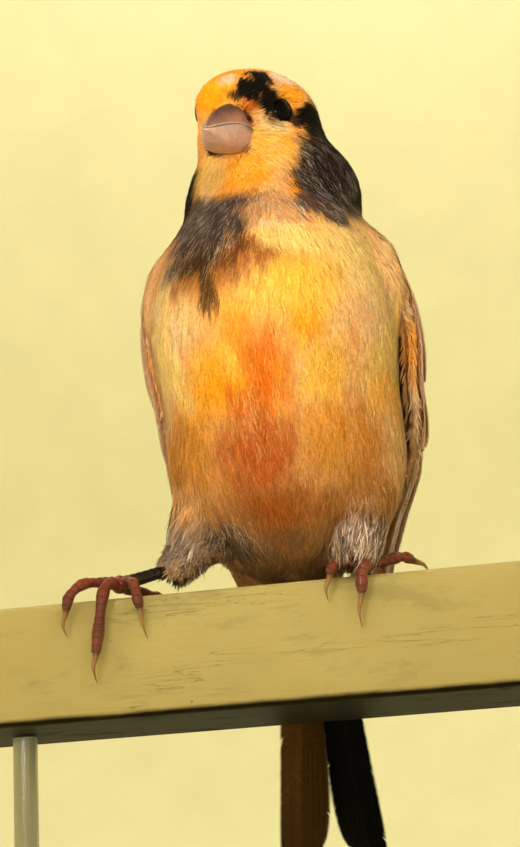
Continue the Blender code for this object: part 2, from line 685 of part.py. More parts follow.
# Wing: a sheet from shoulder to tip. Its first edge leads along the flank, and its second lies on the back.
WING_LEADING = (
    (14.6, -8.0, 118.0), (21.2, -8.0, 110.0), (24.6, -3.0, 101.0), (25.0, 3.0, 91.0),
    (23.4, 9.6, 80.0), (18.4, 17.0, 69.5), (11.6, 24.5, 59.5), (6.2, 30.0, 51.0),
)
WING_TRAILING = (
    (9.4, 5.5, 119.0), (5.2, 13.5, 110.5), (3.2, 17.0, 101.0), (2.6, 19.0, 91.0),
    (2.4, 21.5, 81.0), (2.4, 25.0, 71.0), (2.6, 28.6, 61.5), (3.0, 32.0, 51.5),
)
WING_CLEAR, WING_MIDDLE = 0.45, 0.6
WING_HUG = (1.0, 1.0, 1.0, 1.0, 0.8, 0.3, 0.0, 0.0)
WING_CAMBER = (3.0, 5.2, 6.0, 5.4, 4.0, 2.4, 1.2, 0.4)
WING_CORE = (2.0, 3.3, 3.9, 3.5, 2.4, 1.6, 1.2)
WING_CORE_END = 0.66
WING_ROWS, WING_COLUMNS = 49, 21

# Each tier of wing feathers: how many, the roots' and tips' places on the sheet for the first and last,
# the height above the sheet at root and tip, the width and the number of rows of points.
WING_TIERS = {
    "primary": (6, (0.36, 0.08), (0.40, 0.46), (1.0, 0.20), (0.84, 0.62), (1.1, 0.7), 4.6, 7),
    "secondary": (6, (0.32, 0.40), (0.32, 0.93), (0.80, 0.42), (0.60, 0.90), (1.9, 1.9), 5.8, 6),
    "greater_covert": (6, (0.20, 0.12), (0.20, 0.92), (0.51, 0.09), (0.46, 0.92), (2.4, 2.7), 5.2, 5),
    "median_covert": (5, (0.10, 0.18), (0.10, 0.88), (0.35, 0.15), (0.31, 0.90), (2.7, 3.7), 5.6, 5),
}
WING_SLOPE = 0.24


def wing_sheet(side):
    """One wing's inner face as a grid against the flesh, and the way out of it at each point."""
    lead, trail = curve_through(WING_LEADING, WING_ROWS), curve_through(WING_TRAILING, WING_ROWS)
    places = np.linspace(0.0, len(WING_CAMBER) - 1.0, WING_ROWS)
    camber = np.interp(places, range(len(WING_CAMBER)), WING_CAMBER)[:, None, None]
    hug = np.interp(places, range(len(WING_HUG)), WING_HUG)[:, None, None]
    v = np.linspace(0.0, 1.0, WING_COLUMNS)[None, :, None]
    sheet = lead[:, None] + (trail - lead)[:, None] * v
    sheet = sheet + unit((1.0, 0.55, 0.1)) * camber * 4.0 * v * (1.0 - v)
    if side < 0:
        sheet = sheet * (-1.0, 1.0, 1.0) + (2.0 * WING_MIDDLE, 0.0, 0.0)
    for _ in range(4):
        short = (WING_CLEAR - flesh(sheet))[..., None]
        sheet = sheet + flesh_normal(sheet) * np.where(short > 0.0, short, short * hug)
    along, across = np.gradient(sheet, axis=0), np.gradient(sheet, axis=1)
    out = np.cross(across, along)
    out = out / np.linalg.norm(out, axis=-1, keepdims=True)
    return sheet, out * side * np.sign(out[..., :1].mean())


def grid_value(grid, u, v):
    """A grid's value between its points."""
    row = min(max(u, 0.0), 1.0) * (grid.shape[0] - 1)
    column = min(max(v, 0.0), 1.0) * (grid.shape[1] - 1)
    i, j = min(int(row), grid.shape[0] - 2), min(int(column), grid.shape[1] - 2)
    s, t = row - i, column - j
    low = grid[i, j] * (1 - t) + grid[i, j + 1] * t
    high = grid[i + 1, j] * (1 - t) + grid[i + 1, j + 1] * t
    return low * (1 - s) + high * s


def wing_core(name, sheet, out):
    """The closed core that carries the wing's feathers, thick at the shoulder."""
    rows, columns = 15, 9
    us, vs = np.linspace(0.0, WING_CORE_END, rows), np.linspace(0.0, 1.0, columns)
    places = us / WING_CORE_END * (len(WING_CORE) - 1)
    thickness = np.interp(places, range(len(WING_CORE)), WING_CORE)
    inner = np.array([[grid_value(sheet, u, v) for v in vs] for u in us])
    normals = np.array([[unit(grid_value(out, u, v)) for v in vs] for u in us])
    round_off = np.sqrt(1.0 - 0.85 * np.linspace(-1.0, 1.0, columns) ** 4)[None, :]
    shoulder = np.sqrt(1.0 - 0.85 * (1.0 - np.clip(us * 8.0, 0.0, 1.0)) ** 2)[:, None]
    outer = inner + normals * (thickness[:, None] * round_off * shoulder)[..., None]
    points = np.vstack((outer.reshape(-1, 3), inner.reshape(-1, 3)))
    total = rows * columns
    faces = []
    for row in range(rows - 1):
        for column in range(columns - 1):
            a = row * columns + column
            b, c, d = a + 1, a + columns + 1, a + columns
            faces += [(a, b, c), (a, c, d)]
            faces += [(a + total, c + total, b + total), (a + total, d + total, c + total)]
    rim = list(range(columns))
    rim += [row * columns + columns - 1 for row in range(1, rows)]
    rim += [(rows - 1) * columns + column for column in range(columns - 2, -1, -1)]
    rim += [row * columns for row in range(rows - 2, 0, -1)]
    for a, b in zip(rim, rim[1:] + rim[:1]):
        faces += [(b, a, a + total), (b, a + total, b + total)]
    return faces_out(solid(name, points, faces, "flight_feather"))


def wing_vane(name, sheet, out, root, tip, heights, width, rows):
    """One wing feather, laid on the sheet from its root's place to its tip's."""
    shares = vane_shares(rows)
    path, ways, ups = [], [], []
    for share in shares:
        u, v = root[0] + (tip[0] - root[0]) * share, root[1] + (tip[1] - root[1]) * share
        up = unit(grid_value(out, u, v))
        along = grid_value(sheet, u + 0.02, v + 0.02 * (tip[1] - root[1])) - grid_value(sheet, u - 0.02, v)
        way = grid_value(sheet, u, v + 0.06) - grid_value(sheet, u, v - 0.06)
        along, way = unit(along), way - along * (way @ unit(along))
        path.append(grid_value(sheet, u, v) + up * (heights[0] + (heights[1] - heights[0]) * share))
        ways.append(unit(way))
        ups.append(up)
    return vane(name, path, ways, ups, vane_widths(width, rows), WING_SLOPE, "flight_feather")


def make_wing(name, side):
    """A folded wing: a core with four tiers of feathers, the inner ones lying over the outer."""
    sheet, out = wing_sheet(side)
    wing = wing_core(name, sheet, out)
    vanes = []
    for tier, (count, root_a, root_b, tip_a, tip_b, heights, width, rows) in WING_TIERS.items():
        for index in range(count):
            share = index / (count - 1)
            root = [a + (b - a) * share for a, b in zip(root_a, root_b)]
            tip = [a + (b - a) * share for a, b in zip(tip_a, tip_b)]
            label = f"{name}_{tier}_{index}"
            vanes.append(wing_vane(label, sheet, out, root, tip, heights, width, rows))
    return boolean(wing, vanes, "UNION")


def rounded_plate(name, size, corner, centre, material_name):
    """A flat plate with round corners and a small bevel on its top edge."""
    width, depth, height = size
    bevel = 0.8
    outline = []
    for x_way, y_way, start in ((1, 1, 0.0), (-1, 1, 90.0), (-1, -1, 180.0), (1, -1, 270.0)):
        for step in range(7):
            angle = math.radians(start + step * 15.0)
            x = x_way * (width / 2 - corner) + corner * math.cos(angle)
            y = y_way * (depth / 2 - corner) + corner * math.sin(angle)
            outline.append((x, y))
    outline = np.array(outline)
    rings = []
    for inset, z in ((0.0, 0.0), (0.0, height - bevel), (bevel, height)):
        shrunk = outline * (1.0 - 2.0 * inset / np.array((width, depth)))
        rings.append([(x + centre[0], y + centre[1], z + centre[2]) for x, y in shrunk])
    return tube(name, rings, material_name)


def make_rail():
    """A cut length of batten: a square section with eased arrises, run along X."""
    length, depth, height = RAIL_SIZE
    outline = []
    for y_way, z_way, start in ((1, 1, 0.0), (-1, 1, 90.0), (-1, -1, 180.0), (1, -1, 270.0)):
        for step in range(4):
            angle = math.radians(start + step * 30.0)
            y = y_way * (depth / 2 - RAIL_ARRIS) + RAIL_ARRIS * math.cos(angle)
            z = z_way * (height / 2 - RAIL_ARRIS) + RAIL_ARRIS * math.sin(angle)
            outline.append((y, z + RAIL_TOP - height / 2))
    rings = []
    for x in np.linspace(-length / 2, length / 2, 6):
        rings.append([(x, y, z) for y, z in outline])
    return tube("perch_rail", rings, "painted_wood")


def make_stand():
    rounded_plate("stand_base", BASE_SIZE, BASE_CORNER, (0.0, 0.0, 0.0), "stand_metal")
    for name, x in (("stand_rod_left", ROD_X), ("stand_rod_right", -ROD_X)):
        path = [(x, 0.0, z) for z in np.linspace(BASE_SIZE[2] + GAP, RAIL_BOTTOM - GAP, 3)]
        sweep(name, path, [ROD_RADIUS] * 3, "stand_metal", 20, flat_way=(0.0, 1.0, 0.0))


def main():
    for old in list(bpy.data.objects):
        bpy.data.objects.remove(old)
    make_torso()
    make_neck()
    make_head()
    make_bill()
    make_eyes()
    make_leg("left")
    make_leg("right")
    make_tail()
    make_wing("wing_left", 1)
    make_wing("wing_right", -1)
    make_rail()
    make_stand()


main()
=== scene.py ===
"""The looks of a life-size canary that grips a cut length of painted rail on a plain display stand.

The bird faces -Y, so its left side is +X. Sizes are millimetres until a mesh is made, and the values
that shape the trunk, head, wings, tail and feet are the ones that the solids have.
"""

import itertools
import math

import bpy
import numpy as np
from mathutils import Matrix, Vector
from mathutils.bvhtree import BVHTree


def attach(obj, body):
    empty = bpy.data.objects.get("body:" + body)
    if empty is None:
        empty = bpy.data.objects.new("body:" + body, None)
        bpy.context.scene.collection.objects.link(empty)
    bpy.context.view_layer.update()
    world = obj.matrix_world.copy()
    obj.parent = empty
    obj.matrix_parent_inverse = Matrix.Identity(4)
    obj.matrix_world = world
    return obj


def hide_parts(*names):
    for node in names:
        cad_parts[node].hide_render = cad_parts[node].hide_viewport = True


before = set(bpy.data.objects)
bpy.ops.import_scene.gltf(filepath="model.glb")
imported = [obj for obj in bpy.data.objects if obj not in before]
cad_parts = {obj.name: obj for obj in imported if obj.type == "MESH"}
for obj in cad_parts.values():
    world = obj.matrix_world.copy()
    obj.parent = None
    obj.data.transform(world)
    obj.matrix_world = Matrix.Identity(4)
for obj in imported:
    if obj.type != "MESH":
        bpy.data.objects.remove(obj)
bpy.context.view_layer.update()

# Camera: the direction it looks from, its roll, how far off it stands, what it looks at and its lens.
CAMERA_TURN, CAMERA_DROP, CAMERA_ROLL = 10.0, 17.0, 3.3
CAMERA_REACH, CAMERA_TARGET = 290.0, (-4.0, 0.0, 90.0)
CAMERA_LENS, CAMERA_SENSOR = 36.0 * 1725.0 / 847.0, 36.0

# Head pose: turned to the bird's right, bill a little down, and tipped to its left.
HEAD_CENTRE = np.array((-1.9, -13.0, 141.4))
HEAD_YAW, HEAD_PITCH, HEAD_ROLL = 14.0, -16.5, -14.0

# Trunk: a long egg with breast, belly and rump, blended together.
TORSO_CENTRE, TORSO_RADII, TORSO_LEAN = (0.5, -4.0, 95.0), (19.0, 19.6, 32.0), 72.0
BREAST_CENTRE, BREAST_RADII = (0.6, -9.5, 104.0), (18.6, 17.2, 19.0)
BELLY_CENTRE, BELLY_RADII = (0.4, -2.0, 80.5), (18.4, 17.4, 17.0)
RUMP_TOP, RUMP_TOP_RADIUS = (0.0, 5.0, 84.0), 13.5
RUMP_END, RUMP_END_RADIUS = (-0.6, 14.5, 66.0), 5.6
NECK_LOW, NECK_LOW_RADIUS = (0.4, -4.5, 117.0), 14.8
NECK_HIGH, NECK_HIGH_RADIUS = (0.6, -7.4, 131.0), 10.2
RUFF_CENTRE, RUFF_RADII = (1.2, -3.0, 128.4), (14.9, 10.8, 11.6)
TRUNK_BLEND, NECK_BLEND, RUFF_BLEND, HEAD_BLEND = 7.0, 8.0, 5.5, 3.0

# Head shapes in the head's own directions: left, forward, up.
CRANIUM_CENTRE, CRANIUM_RADII = (0.5, -2.6, 0.0), (7.3, 9.7, 7.2)
HIND_CENTRE, HIND_RADII = (1.7, -6.2, -2.2), (9.9, 8.0, 9.2)
FOREHEAD_CENTRE, FOREHEAD_RADII = (-0.4, 2.2, 1.0), (6.3, 4.9, 4.5)
THROAT_CENTRE, THROAT_RADII = (0.0, -0.6, -4.8), (7.2, 7.4, 5.4)
FACE_BACK, FACE_BACK_RADIUS = (0.0, 0.4, -1.8), 5.9
FACE_FRONT, FACE_FRONT_RADIUS = (0.0, 2.0, -4.6), 4.8
FACE_BLEND = 2.4

# Eyes, lids and bill, in the head's directions too.
EYE_PLACE, EYE_RADIUS, EYE_DEPTH = (0.0, 0.8, 0.1), 2.3, 1.5
LID_RADIUS, LID_TUBE, EYE_OPENING = 2.06, 0.17, 1.95
EYE_DARK, EYE_BROWN = (0.0012, 0.0009, 0.0008), (0.004, 0.0024, 0.002)
BILL_ROOT, BILL_TIP = 4.6, 14.4
GAPE_UP, TIP_UP, GAPE_ARCH = -4.4, -4.5, 1.3
CULMEN_UP, CHIN_UP = 1.1, -8.0
BILL_HALF_WIDTH, BILL_SHIFT = 3.6, 1.25

# The spine that the trunk is parted along, and each thigh's sleeve of feathers.
SPINE = (
    (-0.4, 14.8, 65.6), (-0.2, 8.5, 76.0), (0.0, 1.0, 89.0), (0.0, -4.0, 106.0),
    (0.0, -6.2, 119.0), (-0.9, -8.8, 131.6), (-1.6, -11.2, 139.0),
)
SLEEVES = {
    "left": ((11.5, -3.0, 79.0), (12.4, -7.4, 73.0), (12.4, -8.0, 68.4), (12.7, -8.6, 66.4)),
    "right": ((-9.5, -3.5, 79.0), (-12.4, -6.0, 72.0), (-15.8, -6.8, 67.0), (-17.8, -7.6, 65.0)),
}
SLEEVE_RADII = (7.4, 5.6, 3.1, 2.3)
SLEEVE_BLEND = 1.6

# Stand and perch.
RAIL_TOP, RAIL_SIZE = 60.0, (110.0, 26.0, 19.0)

# Tail: a flat spray that leaves the rump and swings a little to the bird's right.
TAIL_ROOT, TAIL_TILT = np.array((-0.4, 14.8, 65.6)), 58.0
TAIL_REACH = np.array((-2.6, 46.0, 15.8)) - TAIL_ROOT
TAIL_SIDE = np.array((1.0, 0.0, 0.0))
TAIL_UP = np.array((0.0, math.sin(math.radians(TAIL_TILT)), math.cos(math.radians(TAIL_TILT))))
TAIL_PAIRS, TAIL_NOTCH = 6, 0.88
TAIL_INNER, TAIL_SPREAD = 2.6, 5.8
TAIL_VANE_WIDTH, TAIL_GAP, TAIL_SLOPE, TAIL_SHIFT = 5.0, 0.36, 0.24, 0.7
TAIL_CORE = ((0.0, 5.6, 4.8), (0.07, 5.2, 3.8), (0.16, 4.4, 2.6), (0.27, 3.4, 1.4))

# Wing: a sheet from shoulder to tip. Its leading edge runs along the flank, its trailing edge on the back.
WING_LEADING = (
    (14.6, -8.0, 118.0), (21.2, -8.0, 110.0), (24.6, -3.0, 101.0), (25.0, 3.0, 91.0),
    (23.4, 9.6, 80.0), (18.4, 17.0, 69.5), (11.6, 24.5, 59.5), (6.2, 30.0, 51.0),
)
WING_TRAILING = (
    (9.4, 5.5, 119.0), (5.2, 13.5, 110.5), (3.2, 17.0, 101.0), (2.6, 19.0, 91.0),
    (2.4, 21.5, 81.0), (2.4, 25.0, 71.0), (2.6, 28.6, 61.5), (3.0, 32.0, 51.5),
)
WING_CLEAR, WING_MIDDLE = 0.45, 0.6
WING_HUG = (1.0, 1.0, 1.0, 1.0, 0.8, 0.3, 0.0, 0.0)
WING_CAMBER = (3.0, 5.2, 6.0, 5.4, 4.0, 2.4, 1.2, 0.4)
WING_OPEN = (0.0, 0.2, 1.1, 1.5, 0.5, 0.0, 0.0, 0.0)
WING_BULGE, BULGE_AT = (0.0, 0.0, 0.3, 1.3, 3.0, 3.3, 1.9, 0.5), 0.24
WING_CORE = (0.6, 1.8, 2.4, 2.0, 1.4, 1.0, 0.7)
WING_CORE_END = 0.66
WING_ROWS, WING_COLUMNS = 73, 25
WING_SLOPE = 0.22

# Each tier of wing feathers: how many; where on the sheet the first and last have their roots, and then
# their tips; heights above the sheet at root and tip; width, the part of it that leads, and the gap between
# barbs; and the colours of centre and edge.
TAN_VANE, BUFF_VANE = ("wing_tan", "pink_white"), ("wing_buff", "pink_buff")
WING_TIERS = {
    "primaries": (
        9, ((0.36, 0.06), (0.40, 0.46)), ((1.0, 0.16), (0.84, 0.62)), (0.9, 0.6),
        4.4, 0.62, 0.34, TAN_VANE,
    ),
    "secondaries": (
        9, ((0.32, 0.36), (0.32, 0.95)), ((0.82, 0.38), (0.60, 0.92)), (1.7, 1.3),
        5.0, 0.55, 0.34, TAN_VANE,
    ),
    "greater_coverts": (
        10, ((0.20, 0.08), (0.20, 0.94)), ((0.52, 0.06), (0.46, 0.94)), (2.5, 1.8),
        4.8, 0.55, 0.30, BUFF_VANE,
    ),
    "median_coverts": (
        9, ((0.10, 0.10), (0.10, 0.92)), ((0.38, 0.08), (0.34, 0.93)), (2.5, 2.8),
        4.8, 0.55, 0.30, BUFF_VANE,
    ),
}

# Soft feathers on the wing's core: how many, from where to where along it, and which turns round it.
SMALL_COVERTS = {
    "lesser": (1500, (0.0, 0.40), (-0.06, 0.5)),
    "edge": (360, (0.38, 0.97), (-0.10, 0.08)),
}
WING_FLUSHES, FLUSH_REACH = ((25.0, -2.0, 98.0), (-23.6, -2.0, 98.0)), (5.0, 8.0, 6.0)
TAIL_COVERT_COUNT, TAIL_COVERT_LENGTHS = 420, (7.0, 12.0)

# Legs: each has a bare shank, a palm on the rail and four toes with claws.
LEGS = {
    "right": {
        "palm": (-26.2, -11.0, 62.35),
        "outer": ((-29.0, -12.6, 62.6), (-31.4, -14.4, 62.2), (-33.2, -15.5, 60.4), (-34.0, -15.2, 58.2)),
        "outer_claw": ((-34.1, -15.2, 57.6), (-34.4, -15.7, 55.7), (-34.0, -14.5, 53.9)),
        "middle": ((-27.2, -13.9, 62.0), (-27.8, -15.6, 60.0), (-28.6, -15.3, 55.5), (-29.3, -15.1, 51.0)),
        "middle_claw": ((-29.4, -15.2, 50.4), (-29.6, -15.8, 48.6), (-29.6, -14.2, 46.6)),
        "inner": ((-24.2, -12.8, 62.2), (-23.0, -14.7, 61.4), (-22.4, -15.4, 59.4), (-22.1, -15.0, 57.6)),
        "inner_claw": ((-22.0, -15.0, 57.0), (-21.6, -15.7, 54.9), (-21.1, -14.5, 52.6)),
        "hind": ((-25.2, -8.2, 62.0), (-24.0, -5.2, 61.7), (-22.8, -2.4, 61.6), (-22.2, -0.6, 61.6)),
        "hind_claw": ((-22.0, 0.0, 61.8), (-21.2, 2.4, 62.4), (-20.4, 4.4, 60.9)),
    },
    "left": {
        "palm": (13.9, -11.2, 62.35),
        "outer": ((16.4, -10.4, 62.2), (17.8, -9.2, 62.8), (19.2, -8.0, 63.1), (20.3, -7.0, 62.7)),
        "outer_claw": ((20.8, -6.6, 62.5), (21.9, -5.8, 62.1), (22.6, -5.2, 61.0)),
        "middle": ((13.8, -13.9, 61.9), (13.6, -15.4, 60.8), (13.1, -15.4, 58.8), (12.9, -15.1, 56.8)),
        "middle_claw": ((12.8, -15.1, 56.2), (12.4, -15.8, 53.9), (12.5, -14.5, 51.4)),
        "inner": ((11.4, -12.6, 62.2), (9.8, -14.2, 62.0), (8.7, -15.2, 61.0), (8.2, -15.3, 60.0)),
        "inner_claw": ((8.1, -15.3, 59.4), (7.5, -15.8, 57.6), (7.6, -14.5, 55.9)),
        "hind": ((13.2, -8.4, 62.0), (12.6, -5.2, 61.7), (12.0, -2.4, 61.6), (11.7, -0.6, 61.6)),
        "hind_claw": ((11.6, 0.0, 61.8), (11.2, 2.4, 62.4), (10.8, 4.4, 60.9)),
    },
}
TOE_RADIUS = {"outer": 0.92, "middle": 1.0, "inner": 0.9, "hind": 1.05}
SHANK_RADIUS, PALM_RADIUS = 1.0, 1.5
SCUTE_PITCH, SCUTE_RISE = 1.05, 0.13

# The coat's depth over the skin, on the face and on the trunk, and the size of a tuft's patch for the bake.
FACE_DEPTH, TRUNK_DEPTH = 0.35, 0.55
BAKE_PATCH = 0.003

# The coat's feathers at steps of distance from the bill: the spacing of their roots, then length, width,
# the width of a barb and how far the tip lifts. Then where each piece ends, and its barbs to a feather.
ROOT_STEPS, ROOT_SPACING = (3.0, 8.0, 16.0, 30.0, 55.0), (0.40, 0.46, 0.58, 0.74, 0.84)
ROOT_TRIES = 150000
COAT_STEPS = (3.0, 6.0, 12.0, 20.0, 32.0, 55.0, 80.0)
COAT_LENGTHS = (2.2, 3.0, 4.6, 7.0, 9.6, 11.5, 12.5)
COAT_WIDTHS = (0.9, 1.1, 1.5, 2.0, 2.5, 2.8, 2.8)
COAT_BARB_WIDTHS = (0.15, 0.17, 0.21, 0.27, 0.32, 0.35, 0.38)
COAT_LIFTS = (0.08, 0.10, 0.12, 0.13, 0.13, 0.14, 0.18)
FACE_END, HEAD_END, NECK_END, BREAST_LOW = 10.0, 20.0, 34.0, 90.0
COAT_ROWS, HEAD_BARBS, BACK_BARBS, FRONT_BARBS = 3, 7, 8, 14

# Loose tufts over the feet, and bristles round the bill's root.
TUFT_COUNT = 190
TUFT_TIPS = {"left": (11.9, -15.6, 60.4), "right": (-17.1, -8.3, 66.8)}
TUFT_SPREAD = {"left": (1.1, 0.4, 1.2), "right": (0.7, 0.7, 1.0)}
TUFT_BOW = {"left": 1.5, "right": 0.9}
TUFT_START = {"left": 0.2, "right": -0.7}
BRISTLE_COUNT, BRISTLE_LENGTH, BRISTLE_THICKNESS, BRISTLE_ARC = 420, 1.8, 0.08, (0.16, 0.84)
BARB_DEPTH, SHEEN_LEAN, SHOULDER_RISE = 0.04, 0.16, 3.0
FINE_SHARE, FINE_WIDTH, BROAD_WIDTH = 0.36, 0.46, 1.2
BARB_TILT, VANE_DEPTH, SHAFT_SIDES = 1.15, 0.06, 5
SEED = 7

# The camera's surroundings: a round floor that sweeps up into a wall, in metres, and its light.
STAGE_RADIUS, STAGE_CORNER, STAGE_HEIGHT, STAGE_SIDES = 1.3, 0.4, 2.2, 96
WORLD_LIGHT = 0.13
LAMPS = (
    ("key", (-0.05, -0.64, 0.64), (0.0, 0.0, 0.12), 0.35, 2.9),
    ("front", (0.47, -0.60, 0.46), (0.0, 0.0, 0.11), 0.40, 1.9),
    ("side", (-0.55, -0.52, 0.44), (0.0, 0.0, 0.11), 0.40, 1.3),
    ("wall", (0.0, 0.55, 1.70), (0.0, 1.25, 0.45), 0.9, 15.5),
)
SPARK, SPARK_SPREAD = ("spark", (-0.05, -0.42, 0.085), (0.0, 0.0, 0.14), 0.045, 0.036), 30.0

# Plumage colours, as the eye sees them, from 0 to 255.
PLUMAGE = {
    "bright_orange": (255, 158, 20), "bright_yellow": (248, 172, 56), "pale_orange": (246, 190, 96),
    "pale_yellow": (242, 198, 132), "deep_orange": (232, 104, 6), "rust_orange": (174, 72, 5),
    "rust": (138, 66, 16), "yellow": (250, 182, 62), "yellow_orange": (246, 152, 30),
    "buff": (236, 182, 128), "pink_buff": (240, 196, 160), "pink_white": (240, 218, 204),
    "olive_buff": (196, 120, 34), "brown_buff": (146, 88, 36), "grey_buff": (98, 72, 48),
    "grey_brown": (62, 46, 40), "dark_brown": (46, 26, 16), "black": (18, 13, 11),
    "down_grey": (60, 52, 48), "rose_grey": (196, 168, 152), "tail_brown": (110, 78, 44),
    "tail_black": (10, 8, 8), "wing_buff": (214, 168, 118), "wing_brown": (120, 88, 70),
    "cream": (255, 228, 180), "wing_tan": (214, 180, 150), "dusty_pink": (216, 156, 102),
    "smoke": (150, 124, 106), "tan": (206, 144, 80), "gold_buff": (255, 209, 118),
}

# Colours of lids, horn, hair, scales, paint and floor, in the same way, with the painted shade under the
# rail.
TONES = {
    "lid": (30, 22, 19), "bill_upper": (150, 102, 84), "bill_lower": (178, 138, 122),
    "bill_ash": (66, 44, 36), "bill_flush": (150, 70, 66), "bill_edge": (206, 172, 148),
    "bill_fold": (236, 196, 160), "bristle_dark": (84, 34, 16), "bristle_pale": (150, 72, 30),
    "toe_red": (132, 60, 42), "toe_dark": (52, 20, 14), "shank_dark": (12, 7, 6),
    "claw_tip": (152, 112, 70), "claw_root": (60, 30, 22), "paint_low": (166, 146, 86),
    "paint_high": (186, 166, 102), "scuff": (126, 116, 74), "crack": (84, 76, 48),
    "underside": (22, 15, 6), "floor": (230, 222, 172),
}
